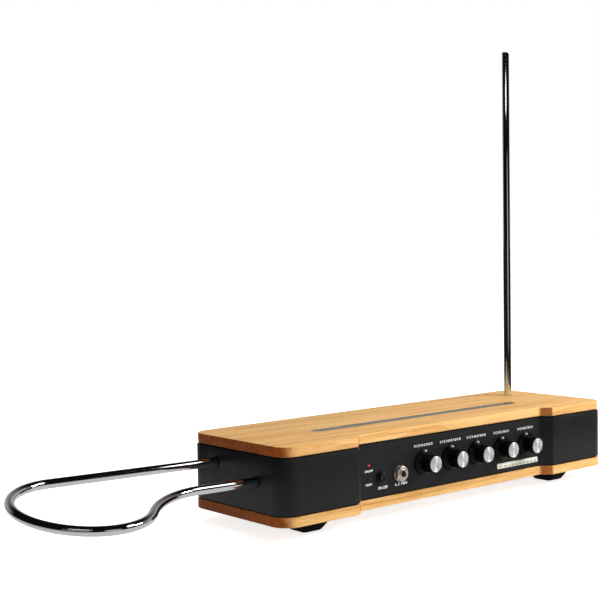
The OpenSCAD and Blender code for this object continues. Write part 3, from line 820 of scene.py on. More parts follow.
@dataclass(frozen=True)
class BrightMetal:
    """Plated or machined metal: fine scratches and faint smudges."""

    name: str
    colour: Colour = (0.62, 0.62, 0.63)
    rough: float = 0.22
    lines: Sequence[float] = (900.0, 900.0, 900.0)
    depth: float = 0.06
    dull: Colour = (0.42, 0.41, 0.40)

    def make(self) -> Any:
        """Returns the material."""
        g = Graph(self.name, Metallic=1.0, Roughness=self.rough)
        smudge = g.noise(45.0, 4.0, 0.6)
        lines = g.noise(1.0, 2.0, 0.5, at=g.stretch(self.lines))
        g.feed("Base Color", g.mix(g.spread(smudge, 0.45, 0.75, 0.0, 0.35), self.colour, self.dull))
        mixed = g.maths("ADD", g.maths("MULTIPLY", lines, 0.6), g.maths("MULTIPLY", smudge, 0.4))
        g.feed("Roughness", g.spread(mixed, 0.3, 0.7, self.rough * 0.8, self.rough * 1.3))
        g.feed("Normal", g.bump(lines, self.depth, 0.02))
        return g.material


@dataclass(frozen=True)
class TurnedDisc:
    """Aluminium faced on a lathe: fine concentric grooves that draw a lamp out into a bright wedge."""

    name: str = "turned_aluminium"
    colour: Colour = (0.86, 0.86, 0.85)
    low: Colour = (0.70, 0.70, 0.69)
    rough: float = 0.48
    pull: float = 1.0
    across: float = 16.0
    groove: float = 0.35
    metal: float = 0.76
    turn: float = 0.25
    centre: Triple = (0.5, 0.5, 0.5)

    def make(self) -> Any:
        """Returns the material."""
        look = {"Metallic": self.metal, "Roughness": self.rough}
        g = Graph(self.name, **look, Anisotropic=self.pull, Anisotropic_Rotation=self.turn)
        middle = g.vector("SUBTRACT", g.spread_out, self.centre)
        flat = g.vector("MULTIPLY", middle, (self.across, 0.0, self.across))
        radius = g.vector("LENGTH", flat, output="Value")
        place = g.node("CombineXYZ", {"X": g.maths("DIVIDE", radius, self.groove)}).outputs[0]
        groove = g.noise(1.0, 2.0, 0.6, at=place)
        g.feed("Base Color", g.mix(g.spread(groove, 0.35, 0.65), self.low, self.colour))
        g.feed("Roughness", g.spread(groove, 0.3, 0.7, self.rough * 0.9, self.rough * 1.15))
        g.feed("Tangent", g.node("Tangent", direction_type="RADIAL", axis="Y").outputs["Tangent"])
        return g.material


@dataclass(frozen=True)
class Chrome:
    """Polished chrome plate with a trace of wiping marks."""

    name: str = "polished_chrome"
    colour: Colour = (0.78, 0.79, 0.80)
    hazed: Colour = (0.66, 0.66, 0.67)
    wipe_scale: Triple = (60.0, 60.0, 14.0)
    rough: Point = (0.03, 0.085)

    def make(self) -> Any:
        """Returns the material."""
        g = Graph(self.name, Metallic=1.0, Roughness=0.05)
        wipe = g.noise(1.0, 3.0, 0.6, at=g.stretch(self.wipe_scale))
        haze = g.noise(22.0, 4.0, 0.6)
        g.feed("Base Color", g.mix(g.spread(haze, 0.5, 0.8, 0.0, 0.2), self.colour, self.hazed))
        g.feed("Roughness", g.spread(g.maths("MULTIPLY", wipe, haze), 0.15, 0.45, *self.rough))
        return g.material


@dataclass(frozen=True)
class Moulding:
    """Moulded plastic or rubber: fine texture, soft random patches of a lighter tone and rubbed edges."""

    name: str
    colour: Colour = (0.012, 0.012, 0.013)
    worn: Colour = (0.05, 0.05, 0.052)
    rough: float = 0.35
    grain: float = 3200.0
    depth: float = 0.12
    sheen: float = 0.40

    def make(self) -> Any:
        """Returns the material."""
        g = Graph(self.name, Roughness=self.rough, Specular_IOR_Level=self.sheen)
        drift = g.noise(30.0, 3.0, 0.6)
        soft = tuple(min(c * 1.45 + 0.002, 1.0) for c in self.colour)
        base = g.mix(g.spread(drift, 0.35, 0.7), self.colour, soft)
        worn = g.mix(g.maths("MULTIPLY", g.edge_wear(0.35), 0.4), base, self.worn)
        g.feed("Base Color", worn)
        g.feed("Roughness", g.spread(g.noise(70.0, 3.0), 0.3, 0.7, self.rough * 0.85, self.rough * 1.2))
        g.feed("Normal", g.bump(g.noise(self.grain, 2.0, 0.6), self.depth, 0.03))
        return g.material


@dataclass(frozen=True)
class Lens:
    """Tinted lens of an indicator, lit or not."""

    name: str
    colour: Colour
    glow: float

    def make(self) -> Any:
        """Returns the material."""
        g = Graph(self.name, Roughness=0.18, Emission_Strength=self.glow, Specular_IOR_Level=0.35)
        cloud = g.noise(900.0, 2.0)
        core = tuple(min(c * 1.6 + 0.01, 1.0) for c in self.colour)
        tint = g.mix(g.spread(cloud, 0.35, 0.65), self.colour, core)
        g.feed("Base Color", tint).feed("Emission Color", tint)
        return g.material


@dataclass(frozen=True)
class Print:
    """Screen print: nearly even, with a slightly broken edge of ink."""

    name: str
    colour: Colour = (0.86, 0.86, 0.82)

    def make(self) -> Any:
        """Returns the material."""
        g = Graph(self.name, Roughness=0.55)
        ink = g.noise(1500.0, 3.0, 0.6)
        thin = tuple(c * 0.78 for c in self.colour)
        g.feed("Base Color", g.mix(g.spread(ink, 0.35, 0.7), self.colour, thin))
        g.feed("Normal", g.bump(ink, 0.1, 0.01))
        return g.material


@dataclass(frozen=True)
class Winding:
    """Lacquered copper wire wound in fine turns about Z, with painted shade in the gaps between the turns.
    """

    name: str = "copper_winding"
    turn: float = 0.35
    wave_unit: float = 6.2832
    shade: Colour = (0.10, 0.035, 0.015)
    bright: Colour = (0.50, 0.21, 0.08)

    def make(self) -> Any:
        """Returns the material."""
        g = Graph(self.name, Metallic=0.7, Roughness=0.35)
        links = {"Vector": g.place, "Scale": 1.0 / (self.turn * MM) / self.wave_unit, "Distortion": 0.3}
        wave = g.node("TexWave", links, wave_type="BANDS", bands_direction="Z").outputs["Fac"]
        # Painted shade: the colour falls to the shade colour in the gaps between the turns.
        g.feed("Base Color", g.ramp(wave, (0.1, self.shade), (0.7, self.bright)))
        g.feed("Normal", g.bump(wave, 0.8, 0.15))
        return g.material


@dataclass(frozen=True)
class CircuitBoard:
    """Green board with copper tracks seen through its lacquer."""

    name: str = "circuit_board"
    cells: float = 260.0
    ground: Colour = (0.012, 0.075, 0.03)
    pale_ground: Colour = (0.018, 0.10, 0.04)
    track: Colour = (0.05, 0.19, 0.07)

    def make(self) -> Any:
        """Returns the material."""
        g = Graph(self.name, Roughness=0.35, Coat_Weight=0.3, Coat_Roughness=0.1)
        links = {"Vector": g.place, "Scale": self.cells}
        cells = g.node("TexVoronoi", links, distance="CHEBYCHEV", feature="F1").outputs["Distance"]
        tracks = g.spread(cells, 0.42, 0.46)
        drift = g.noise(20.0, 3.0)
        base = g.mix(g.spread(drift, 0.3, 0.7), self.ground, self.pale_ground)
        g.feed("Base Color", g.mix(g.maths("MULTIPLY", tracks, 0.6), base, self.track))
        g.feed("Normal", g.bump(tracks, 0.4, 0.04))
        return g.material


class Finish(Enum):
    """Every finish on the object, with the record's slot that it belongs to."""

    TOP_WOOD = ("light_wood", WoodFinish("top_board_wood"))
    BASE_WOOD = ("light_wood", WoodFinish("bottom_board_wood", shift=0.37))
    CASE = ("black_steel", PowderCoat("case_powder_coat", 0.0050, 0.42))
    PANEL = ("black_steel", PowderCoat("panel_powder_coat", 0.0058, 0.50))
    # The inlay's base colour is its own near-black, lifted and warmed as a painted reflection of the pale
    # backdrop and the wood.
    INLAY = (
        "dark_inlay",
        Moulding("inlay_satin_with_painted_reflection", (0.075, 0.066, 0.046), (0.09, 0.075, 0.05), 0.26, 2400.0, 0.05, 0.55),
    )
    CHROME = ("chrome", Chrome())
    KNOB = (
        "knob_plastic",
        Moulding(
            "knob_gloss_black", (0.0012, 0.0012, 0.0013), (0.009, 0.009, 0.010), 0.15, 2600.0, 0.02, 0.11
        ),
    )
    TURNED = ("turned_aluminium", TurnedDisc())
    NICKEL = (
        "nickel",
        BrightMetal(
            "nickel_plate", (0.86, 0.79, 0.72), 0.36, (1200.0, 1200.0, 300.0), 0.08, (0.50, 0.44, 0.38)
        ),
    )
    STEEL = (
        "steel",
        BrightMetal(
            "zinc_plate", (0.55, 0.55, 0.56), 0.30, (700.0, 700.0, 2200.0), 0.10, (0.36, 0.36, 0.35)
        ),
    )
    BRASS = (
        "brass",
        BrightMetal(
            "machined_brass", (0.60, 0.43, 0.17), 0.25, (400.0, 400.0, 2600.0), 0.10, (0.34, 0.22, 0.09)
        ),
    )
    BLACK = (
        "black_plastic",
        Moulding(
            "black_moulding", (0.0045, 0.0045, 0.0048), (0.025, 0.025, 0.026), 0.32, 3200.0, 0.12, 0.30
        ),
    )
    RUBBER = (
        "black_rubber",
        Moulding("foot_rubber", (0.0016, 0.0016, 0.0015), (0.006, 0.006, 0.006), 0.62, 1500.0, 0.30, 0.03),
    )
    WHITE = (
        "white_plastic",
        Moulding("turned_white_plastic", (0.62, 0.61, 0.56), (0.75, 0.74, 0.70), 0.38, 1800.0, 0.10),
    )
    RED_WIRE = (
        "red_wire", Moulding("lead_sleeve", (0.35, 0.02, 0.015), (0.45, 0.08, 0.06), 0.40, 2400.0, 0.10)
    )
    LIT = ("red_lens", Lens("lit_red_lens", (0.30, 0.006, 0.020), 0.55))
    UNLIT = ("dark_lens", Lens("unlit_red_lens", (0.040, 0.002, 0.005), 0.0))
    PRINT = ("cream_plate", Print("panel_print"))
    PLATE = ("cream_plate", Print("plate_cream", (0.78, 0.77, 0.66)))
    PLATE_INK = ("cream_plate", Print("plate_ink", (0.07, 0.065, 0.055)))
    BOARD = ("circuit_board", CircuitBoard())
    COPPER = ("copper_wire", Winding())

    @property
    def slot(self) -> str:
        """The record's material slot."""
        return self.value[0]


class Bench:
    """Where the pieces are put on the frame, each on its body and in its finish."""

    ink_spread = 0.022
    ink_steps = 4
    ink_lift = 0.04

    def __init__(self, frame: dict[str, Any]) -> None:
        """Keeps the frame.
        """
        self.frame = frame
        self.made: dict[Finish, Any] = {}

    def material(self, finish: Finish) -> Any:
        """The finish's material, made at its first use."""
        if finish not in self.made:
            self.made[finish] = finish.value[1].make()
        return self.made[finish]

    def place(
        self,
        name: str,
        solid: Solid,
        finish: Finish,
        body: str = CABINET,
        instead_of: Sequence[str] = (),
        matrix: Matrix | None = None,
        sharp: float = 32.0,
    ) -> Any:
        """Turns a solid into a piece of the object.

        Args:
            name: Name of the piece.
            solid: The mesh, in millimetres.
            finish: Its finish.
            body: The body that it rides on.
            instead_of: Nodes of the frame that it stands for.
            matrix: Where it goes, in millimetres.
            sharp: Angle in degrees above which an edge stays sharp.

        Returns:
            The new object.
        """
        bm = solid.mesh
        if matrix is not None:
            bmesh.ops.transform(bm, matrix=matrix, verts=bm.verts)
        bmesh.ops.scale(bm, vec=(MM, MM, MM), verts=bm.verts)
        bmesh.ops.recalc_face_normals(bm, faces=bm.faces)
        mesh = bpy.data.meshes.new(name)
        bm.to_mesh(mesh)
        bm.free()
        obj = bpy.data.objects.new(name, mesh)
        bpy.context.scene.collection.objects.link(obj)
        self.smooth(obj, sharp)
        mesh.materials.append(self.material(finish))
        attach(obj, body)
        if instead_of:
            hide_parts(*instead_of)
        LOG.info("piece %s in %s on %s", name, finish.name, body)
        return obj

    @staticmethod
    def smooth(obj: Any, sharp: float) -> None:
        """Smooths a piece's shading except at edges sharper than the angle."""
        obj.data.polygons.foreach_set("use_smooth", [True] * len(obj.data.polygons))
        obj.data.set_sharp_from_angle(angle=math.radians(sharp))

    def dress(self, finish: Finish, *nodes: str) -> None:
        """Gives nodes of the frame a finish.

        Args:
            finish: The finish.
            nodes: Names of the nodes.
        """
        for node in nodes:
            slots = self.frame["nodes"][node].data.materials
            slots.clear()
            slots.append(self.material(finish))
            LOG.info("node %s in %s", node, finish.name)

    def words(
        self,
        name: str,
        text: str,
        height: float,
        width: float,
        matrix: Matrix,
        finish: Finish,
        body: str = CABINET,
    ) -> Any:
        """Lays flat print on a face.

        Args:
            name: Name of the piece.
            text: What is printed.
            height: Height of a figure in millimetres.
            width: Width of the whole line, or 0 for its own.
            matrix: Middle of the line, with Z out of the face.
            finish: The ink.
            body: The body that it rides on.

        Returns:
            The new object.
        """
        curve = bpy.data.curves.new(name, "FONT")
        curve.body = text
        curve.size = 1.0
        curve.resolution_u = self.ink_steps
        curve.offset = self.ink_spread
        writer = bpy.data.objects.new(name + "_line", curve)
        bpy.context.scene.collection.objects.link(writer)
        bpy.context.view_layer.update()
        mesh = bpy.data.meshes.new_from_object(writer)
        bpy.data.objects.remove(writer)
        bpy.data.curves.remove(curve)
        solid = Solid()
        solid.mesh.from_mesh(mesh)
        bpy.data.meshes.remove(mesh)
        low, high = self._span(solid)
        size = high - low
        tall = height / size.y
        wide = width / size.x if width else tall
        centre = (low + high) / 2
        solid.moved(Matrix.Diagonal((wide, tall, 1.0, 1.0)) @ Matrix.Translation(-centre))
        lifted = matrix @ Matrix.Translation((0, 0, self.ink_lift))
        return self.place(name, solid, finish, body, matrix=lifted)

    @staticmethod
    def _span(solid: Solid) -> tuple[Vector, Vector]:
        """Lowest and highest corner of a solid."""
        points = [v.co for v in solid.mesh.verts]
        low = Vector([min(p[k] for p in points) for k in range(3)])
        high = Vector([max(p[k] for p in points) for k in range(3)])
        return low, high


# Sub-assemblies


@dataclass
class WoodBoards:
    """Top and bottom board with rounded arrises, and the inlay strip."""

    bench: Bench
    form: CabinetForm
    arris: float = 0.8
    arris_steps: int = 6
    rod_hole: float = 4.5
    rod_chamfer: float = 0.4
    inlay_length: float = 302.0
    inlay_width: float = 15.0
    inlay_y: float = -11.5
    inlay_depth: float = 2.2
    inlay_clear: float = 0.1
    inlay_thick: float = 2.0
    groove_chamfer: float = 0.15
    flange: float = 22.1
    flange_chamfer: float = 0.2
    flange_depth: float = 2.5
    barrel: float = 10.6
    head_hole: float = 3.1
    head_depth: float = 4.0
    shank_hole: float = 1.65

    def build(self) -> None:
        """Makes the boards and the inlay."""
        self.top_board()
        self.bottom_board()
        self.inlay()

    def levels(self, z0: float, z1: float, inset: float) -> list[Point]:
        """Inset and height of each ring round a board's edge.

        Args:
            z0: Lower face.
            z1: Upper face.
            inset: How far the board is set in.

        Returns:
            The rings, from the lower face to the upper.
        """
        turns = [math.radians(90 // self.arris_steps * k) for k in range(self.arris_steps + 1)]
        gaps = [(self.arris * (1 - math.sin(a)), self.arris * (1 - math.cos(a))) for a in turns]
        return [(inset + s, z0 + c) for s, c in gaps] + [(inset + c, z1 - s) for s, c in gaps]

    def skin(self, solid: Solid, z0: float, z1: float, inset: float = 0.0) -> tuple[list[Any], list[Any]]:
        """Adds a board's edge.

        Args:
            solid: What it is added to.
            z0: Lower face.
            z1: Upper face.
            inset: How far the board is set in.

        Returns:
            The lower and the upper ring.
        """
        levels = self.levels(z0, z1, inset)
        made = solid.loft([[(x, y, z) for x, y in self.form.outline(s)] for s, z in levels], ends=False)
        return made[0], made[-1]

    def strip(self, grow: float, z: float) -> list[Triple]:
        """Points of the inlay's outline, grown by a distance, at a height."""
        w = self.inlay_width + 2 * grow
        outline = rounded_box(self.inlay_length + 2 * grow, w, w / 2 - 0.001, 14)
        return [(x, y + self.inlay_y, z) for x, y in outline]

    def top_board(self) -> None:
        """The top board, with its rod hole and groove."""
        z0, z1 = self.form.top - self.form.board, self.form.top
        solid = Solid()
        low, high = self.skin(solid, z0, z1, self.form.top_inset)
        r, edge = self.rod_hole, self.rod_chamfer
        hole = solid.well(*self.form.rod_at, [(r + edge, z1), (r, z1 - edge), (r, z0)])
        wide, edge = self.inlay_clear, self.groove_chamfer
        steps = [(wide + edge, z1), (wide, z1 - edge), (wide, z1 - self.inlay_depth)]
        groove = solid.loft([self.strip(grow, z) for grow, z in steps], ends=False)
        solid.cap(groove[-1])
        solid.cap(high, hole[0], groove[0])
        solid.cap(low, hole[-1])
        self.bench.place("top_board_wood", solid, Finish.TOP_WOOD, instead_of=("top_board",))

    def bottom_board(self) -> None:
        """The bottom board, with the stand socket's recess and the screws' holes."""
        solid = Solid()
        low, high = self.skin(solid, 0.0, self.form.board)
        edge, deep = self.flange_chamfer, self.flange_depth
        steps = [
            (self.flange + edge, 0.0), (self.flange, edge), (self.flange, deep), (self.barrel, deep),
            (self.barrel, self.form.board),
        ]
        flange = solid.well(0, 0, steps)
        head, deep, shank = self.head_hole, self.head_depth, self.shank_hole
        steps = [(3.2, 0.0), (head, 0.15), (head, deep), (shank, deep), (shank, self.form.board)]
        holes = [solid.well(x, y, steps, 24) for x, y in self.form.screw_spots()]
        solid.cap(low, flange[0], *(h[0] for h in holes))
        solid.cap(high, flange[-1], *(h[-1] for h in holes))
        self.bench.place("bottom_board_wood", solid, Finish.BASE_WOOD, instead_of=("bottom_board",))

    def inlay(self) -> None:
        """The strip in the top board."""
        z1 = self.form.top - 2 * self.inlay_clear
        z0 = z1 - self.inlay_thick
        solid = Solid()
        steps = [(-0.1, z0), (0, z0 + 0.1), (0, z1 - 0.2), (-0.2, z1)]
        solid.loft([self.strip(grow, z) for grow, z in steps])
        self.bench.place("inlay_strip", solid, Finish.INLAY, instead_of=("top_inlay",))


@dataclass
class SteelCase:
    """Black steel case: bent wall, lid, flanges and the front panel."""

    bench: Bench
    form: CabinetForm
    loop: LoopPlane
    edge: float = 0.35
    opening: float = 134.2
    bush_hole: float = 6.55
    lid_inset: float = 2.1
    return_size: Point = (7.0, 1.4)
    return_at: Point = (132.2, 2.75)
    floor_opening: Point = (450.0, 107.0)
    socket_hole: float = 4.85
    inlet_hole: float = 4.9
    switch_hole: Point = (13.1, 19.7)
    cut_reach: float = 6.0

    def build(self) -> None:
        """Makes the case and dresses what the frame already has right."""
        wall = self.wall()
        self.holes(wall)
        self.bench.dress(Finish.CASE, "base_plate")
        self.bench.dress(Finish.PANEL, "front_panel")

    def wall(self) -> Any:
        """The wall with its rounded edges, as one sheet piece.

        Returns:
            The new object.
        """
        z0 = self.form.board + self.form.reveal
        z1 = self.form.top - z0
        e = self.edge
        t = self.form.sheet
        section = [
            (e, z0), (e * 0.3, z0 + e * 0.3), (0, z0 + e), (0, z1 - e), (e * 0.3, z1 - e * 0.3), (e, z1),
            (t, z1), (t, z0),
        ]
        solid = Solid()
        lines = [self.level(solid, inset, z, self.opening) for inset, z in section]
        for a, b in zip(lines, lines[1:] + lines[:1]):
            solid.bridge(a, b, closed=False)
        solid.cap([line[0] for line in lines])
        solid.cap([line[-1] for line in lines])
        return self.bench.place("case_wall", solid, Finish.CASE, instead_of=("case_shell",))

    def level(self, solid: Solid, inset: float, z: float, opening: float | None = None) -> list[Any]:
        """Adds the cabinet's outline at a height.

        Args:
            solid: What it is added to.
            inset: How far the outline is set in.
            z: Height.
            opening: Half width of an opening in the front, or None for none.

        Returns:
            The ring.
        """
        return solid.ring([(x, y, z) for x, y in self.form.outline(inset, opening)])

    def slab(self, solid: Solid, inset: float, heights: Point, hole: list[list[Triple]]) -> Solid:
        """Adds a flat plate with the cabinet's outline and one hole.

        Args:
            solid: What it is added to.
            inset: How far its outline is set in.
            heights: Its lower and upper face.
            hole: The hole's points at each face.

        Returns:
            The solid.
        """
        outer = [self.level(solid, inset, z) for z in heights]
        solid.bridge(*outer)
        inner = solid.loft(hole, ends=False)
        solid.cap(outer[0], inner[0])
        solid.cap(outer[1], inner[1])
        return solid

    def lids(self) -> None:
        """Top plate, reveal plate, bottom flange and the returns behind the panel."""
        f = self.form
        z1 = f.top - f.board - f.reveal
        solid = Solid()
        for inset, low, high in ((self.lid_inset, z1 - f.sheet, z1), (f.reveal_in, z1, z1 + f.reveal)):
            hole = [circle(*f.rod_at, self.bush_hole, z) for z in (low, high)]
            solid.add(self.slab(Solid(), inset, (low, high), hole))
        z0 = f.board + f.reveal
        x, y = self.return_at
        for side in (-1, 1):
            part = Solid().prism(rounded_box(*self.return_size, 0.2, 2), z0 + f.sheet, z1 - f.sheet, 0.0)
            solid.add(part.moved(Matrix.Translation((side * x, f.panel + y, 0))))
        self.bench.place("case_lid", solid, Finish.CASE)
        heights = (z0, z0 + f.sheet)
        opening = [[(x, y, z) for x, y in rounded_box(*self.floor_opening, 4.0)] for z in heights]
        flange = self.slab(Solid(), self.lid_inset, heights, opening)
        self.bench.place("case_flange", flange, Finish.CASE)

    def bar(self, r: float, count: int) -> Solid:
        """A round bar that cuts a hole of its radius."""
        reach = self.cut_reach
        return Solid().lathe([(0, -reach), (r, -reach), (r, reach), (0, reach)], count)

    def holes(self, wall: Any) -> None:
        """Cuts the wall for the loop's bushes and the sockets and switch on the back.

        Args:
            wall: The wall piece.
        """
        form = self.form
        cutters = [self.bar(self.bush_hole, 64).moved(self.loop.across(y)) for y in self.loop.legs]
        for x, r in ((form.audio_x, self.socket_hole), (form.inlet_x, self.inlet_hole)):
            cutters.append(self.bar(r, 48).moved(form.on_back(x, form.middle)))
        box = Solid().prism(rounded_box(*self.switch_hole, 0.5), -self.cut_reach, self.cut_reach, 0.0)
        cutters.append(box.moved(form.on_back(form.switch_x, form.middle)))
        for cutter in cutters:
            cutter.moved(Matrix.Diagonal((MM, MM, MM, 1.0)))
        carve(wall, cutters)
        self.bench.smooth(wall, 25.0)
        self.lids()


@dataclass
class Knobs:
    """Five fluted knobs with a skirt, a turned disc and a white mark."""

    bench: Bench
    form: CabinetForm
    names: Sequence[str] = ("phones_level", "volume_range", "pitch_range", "waveform", "brightness")
    angles: Sequence[float] = (116.0, 150.0, 140.0, 148.0, 67.0)
    middle: float = 30.8
    pitch: float = 39.5
    height: float = 17.5
    gap: float = 0.7
    skirt: float = 13.0
    grip: float = 9.4
    draft: float = 0.4
    cap: float = 8.0
    flutes: int = 18
    flute_depth: float = 0.7
    flute_share: float = 0.62
    flutes_from: float = 4.2
    flutes_fade: float = 0.8
    flute_points: int = 12
    disc_points: int = 96
    shaft: float = 3.4
    sharp: float = 40.0

    def build(self) -> None:
        """Makes every knob."""
        for k in range(len(self.names)):
            self.knob(k)

    def matrix(self, k: int) -> Matrix:
        """Matrix of a knob, turned to its mark."""
        x = self.middle + (k - 2) * self.pitch
        turn = Matrix.Rotation(math.radians(-self.angles[k]), 4, "Z")
        return self.form.on_front(x, self.form.middle) @ turn

    def fluted(self, r: float, z: float, a: float) -> float:
        """Radius of the grip with its flutes.

        Args:
            r: Plain radius.
            z: Height.
            a: Angle.

        Returns:
            The radius at that angle.
        """
        if z < self.flutes_from or r < self.cap + 0.45:
            return r
        step = 2 * math.pi / self.flutes
        off = abs((a - math.pi / 2) % step - step / 2) / (step / 2)
        fade = min((z - self.flutes_from) / self.flutes_fade, 1.0)
        scoop = max(0.0, 1 - (off / self.flute_share) ** 2)
        return r - self.flute_depth * fade * scoop

    def knob(self, k: int) -> None:
        """One knob, its disc and its mark.

        Args:
            k: Place in the row, from 0.
        """
        body = self.names[k] + "_knob"
        at = self.matrix(k)
        face = self.height - 0.3
        high = self.height
        gap, skirt, grip = self.gap, self.skirt, self.grip
        top = grip - self.draft
        pocket = self.cap + 0.05
        profile = [
            (7.0, gap), (skirt - 0.25, gap), (skirt, gap + 0.25), (skirt, 1.85), (skirt - 0.12, 2.08),
            (skirt - 0.4, 2.2), (11.4, 2.85), (10.2, 3.6), (grip + 0.2, 4.15), (grip + 0.03, 4.5),
            (grip, 5.0), (grip - 0.1, 8.0), (grip - 0.25, 12.0), (top, face - 0.5),
            (top - 0.12, face - 0.16), (top - 0.4, face), (pocket + 0.1, face), (pocket, face - 0.1),
            (pocket, high - 0.8), (self.shaft, high - 0.8), (self.shaft, 5.5), (7.0, 5.5),
        ]
        solid = Solid().lathe(profile, self.flutes * self.flute_points, self.fluted, loop=True)
        n = k + 1
        self.bench.place(f"fluted_knob_{n}", solid, Finish.KNOB, body, (f"knob_{n}",), at, self.sharp)
        disc = [
            (0, high - 0.78), (self.cap, high - 0.78), (self.cap, high - 0.14), (self.cap - 0.14, high),
            (7.3, high), (7.2, high - 0.04), (7.1, high), (5.0, high), (3.0, high), (1.2, high), (0, high),
        ]
        cap = Solid().lathe(disc, self.disc_points)
        self.bench.place(f"turned_disc_{n}", cap, Finish.TURNED, body, (f"knob_cap_{n}",), at)
        mark = Solid().prism(rounded_box(1.0, 0.75, 0.15, 2), face - 3.0, face + 0.02, 0.08)
        at = at @ Matrix.Translation((0, top - 0.43, 0))
        self.bench.place(f"pointer_mark_{n}", mark, Finish.PRINT, body, matrix=at)
        self.bench.dress(Finish.STEEL, f"control_shaft_{n}")
        self.bench.dress(Finish.BOARD, f"control_{n}")


@dataclass
class PanelParts:
    """Lights, mute button, phones socket, plate and print on the front panel."""

    bench: Bench
    form: CabinetForm
    lower: float = 30.0
    light_x: float = -124.0
    light_pitch: float = 13.0
    light_radius: float = 1.5
    mute_x: float = -108.5
    phones_x: float = -82.0
    plate_size: Point = (66.5, 5.5)
    plate_thick: float = 0.8
    plate_margin: float = 5.2
    plate_lift: float = 3.0
    scale_length: float = 62.0
    scale_steps: int = 50
    scale_ticks: Sequence[tuple[int, float]] = ((10, 1.5), (5, 1.05), (1, 0.7))
    tick_half: float = 0.17
    ink: float = 0.02
    plate_figures: Point = (2.5, 62.0)
    knob_figures_z: float = 54.3
    knob_figures: float = 2.7
    knob_widths: Sequence[float] = (26.0, 31.0, 29.0, 24.0, 25.0)

    def build(self) -> None:
        """Makes the panel's parts and its print."""
        self.lights()
        self.mute()
        Sockets.front(self.bench, self.form, self.phones_x, self.lower)
        self.plate()
        self.print_figures()
        self.bench.dress(Finish.STEEL, "control_nuts", "panel_nuts")
        self.bench.dress(Finish.BLACK, "mute_switch")

    def lights(self) -> None:
        """The lit and the unlit indicator."""
        r = self.light_radius
        foot = [(0, -4.0), (1.85, -4.0), (1.85, -3.25), (r, -3.2), (r, -0.2)]
        dome = CabinetForm.arc(0, 0, r, 0, 90, 9)[:-1] + [(0, r)]
        upper = self.lower + self.light_pitch
        for node, z, finish in (("power_led", upper, Finish.LIT), ("mute_led", self.lower, Finish.UNLIT)):
            at = self.form.on_front(self.light_x, z)
            solid = Solid().lathe(foot + dome, 40)
            self.bench.place(node + "_lens", solid, finish, instead_of=(node,), matrix=at)

    def mute(self) -> None:
        """The mute button and its bezel."""
        at = self.form.on_front(self.mute_x, self.lower)
        button = [
            (0, -5.7), (1.5, -5.7), (1.5, -2.0), (4.0, -2.0), (4.0, 4.2), (3.9, 4.45), (3.7, 4.62),
            (3.4, 4.72), (2.6, 4.5), (1.2, 4.32), (0, 4.3),
        ]
        key = Solid().lathe(button)
        self.bench.place("mute_key", key, Finish.BLACK, "mute_push", ("mute_button",), at)
        profile = [
            (5.8, 0.0), (5.8, 1.0), (5.65, 1.3), (5.4, 1.4), (4.5, 1.4), (4.28, 1.3), (4.2, 1.1), (4.2, 0.0)
        ]
        ring = Solid().lathe(profile, loop=True)
        self.bench.place("mute_ring", ring, Finish.BLACK, instead_of=("mute_bezel",), matrix=at)

    def plate(self) -> None:
        """The cream plate with a plain scale and figures."""
        wide, tall = self.plate_size
        x = self.form.panel_width / 2 - wide / 2 - self.plate_margin
        at = self.form.on_front(x, self.form.board + tall + self.plate_lift)
        solid = Solid().prism(rounded_box(wide, tall, 0.5, 4), 0, self.plate_thick, 0.12)
        self.bench.place("scale_plate", solid, Finish.PLATE, instead_of=("name_plate",), matrix=at)
        marks = Solid()
        half, length, steps = self.tick_half, self.scale_length, self.scale_steps
        for k in range(steps + 1):
            tall = next(size for every, size in self.scale_ticks if k % every == 0)
            tick = Solid().prism([(-half, -tall), (half, -tall), (half, 0), (-half, 0)], 0, self.ink, 0.0)
            marks.add(tick.moved(Matrix.Translation((-length / 2 + k * length / steps, 2.5, 0.81))))
        self.bench.place("scale_marks", marks, Finish.PLATE_INK, matrix=at)
        row = at @ Matrix.Translation((0.0, -0.95, self.plate_thick))
        text = "0 5 10 15 20 25 30 35 40 45 50"
        self.bench.words("scale_figures", text, *self.plate_figures, row, Finish.PLATE_INK)

    def print_figures(self) -> None:
        """Plain figures above the knobs, and plain words at the small parts."""
        knobs = Knobs(self.bench, self.form)
        text = "0 1 2 3 4 5 6 7 8 9 10"
        for k, width in enumerate(self.knob_widths):
            at = self.form.on_front(knobs.middle + (k - 2) * knobs.pitch, self.knob_figures_z)
            self.bench.words(f"knob_scale_{k + 1}", text, self.knob_figures, width, at, Finish.PRINT)
        for name, text, x, z, tall, wide in (
            ("light_word", "ON/OFF", self.light_x, 37.4, 2.2, 10.6),
            ("mute_light_word", "ON/OFF", self.light_x, 24.3, 2.2, 8.6),
            ("mute_word", "ON OFF", -105.4, 19.1, 2.8, 12.8),
            ("phones_figure", "6.3 MM", -80.5, 19.6, 2.8, 17.0),
        ):
            self.bench.words(name, text, tall, wide, self.form.on_front(x, z), Finish.PRINT)


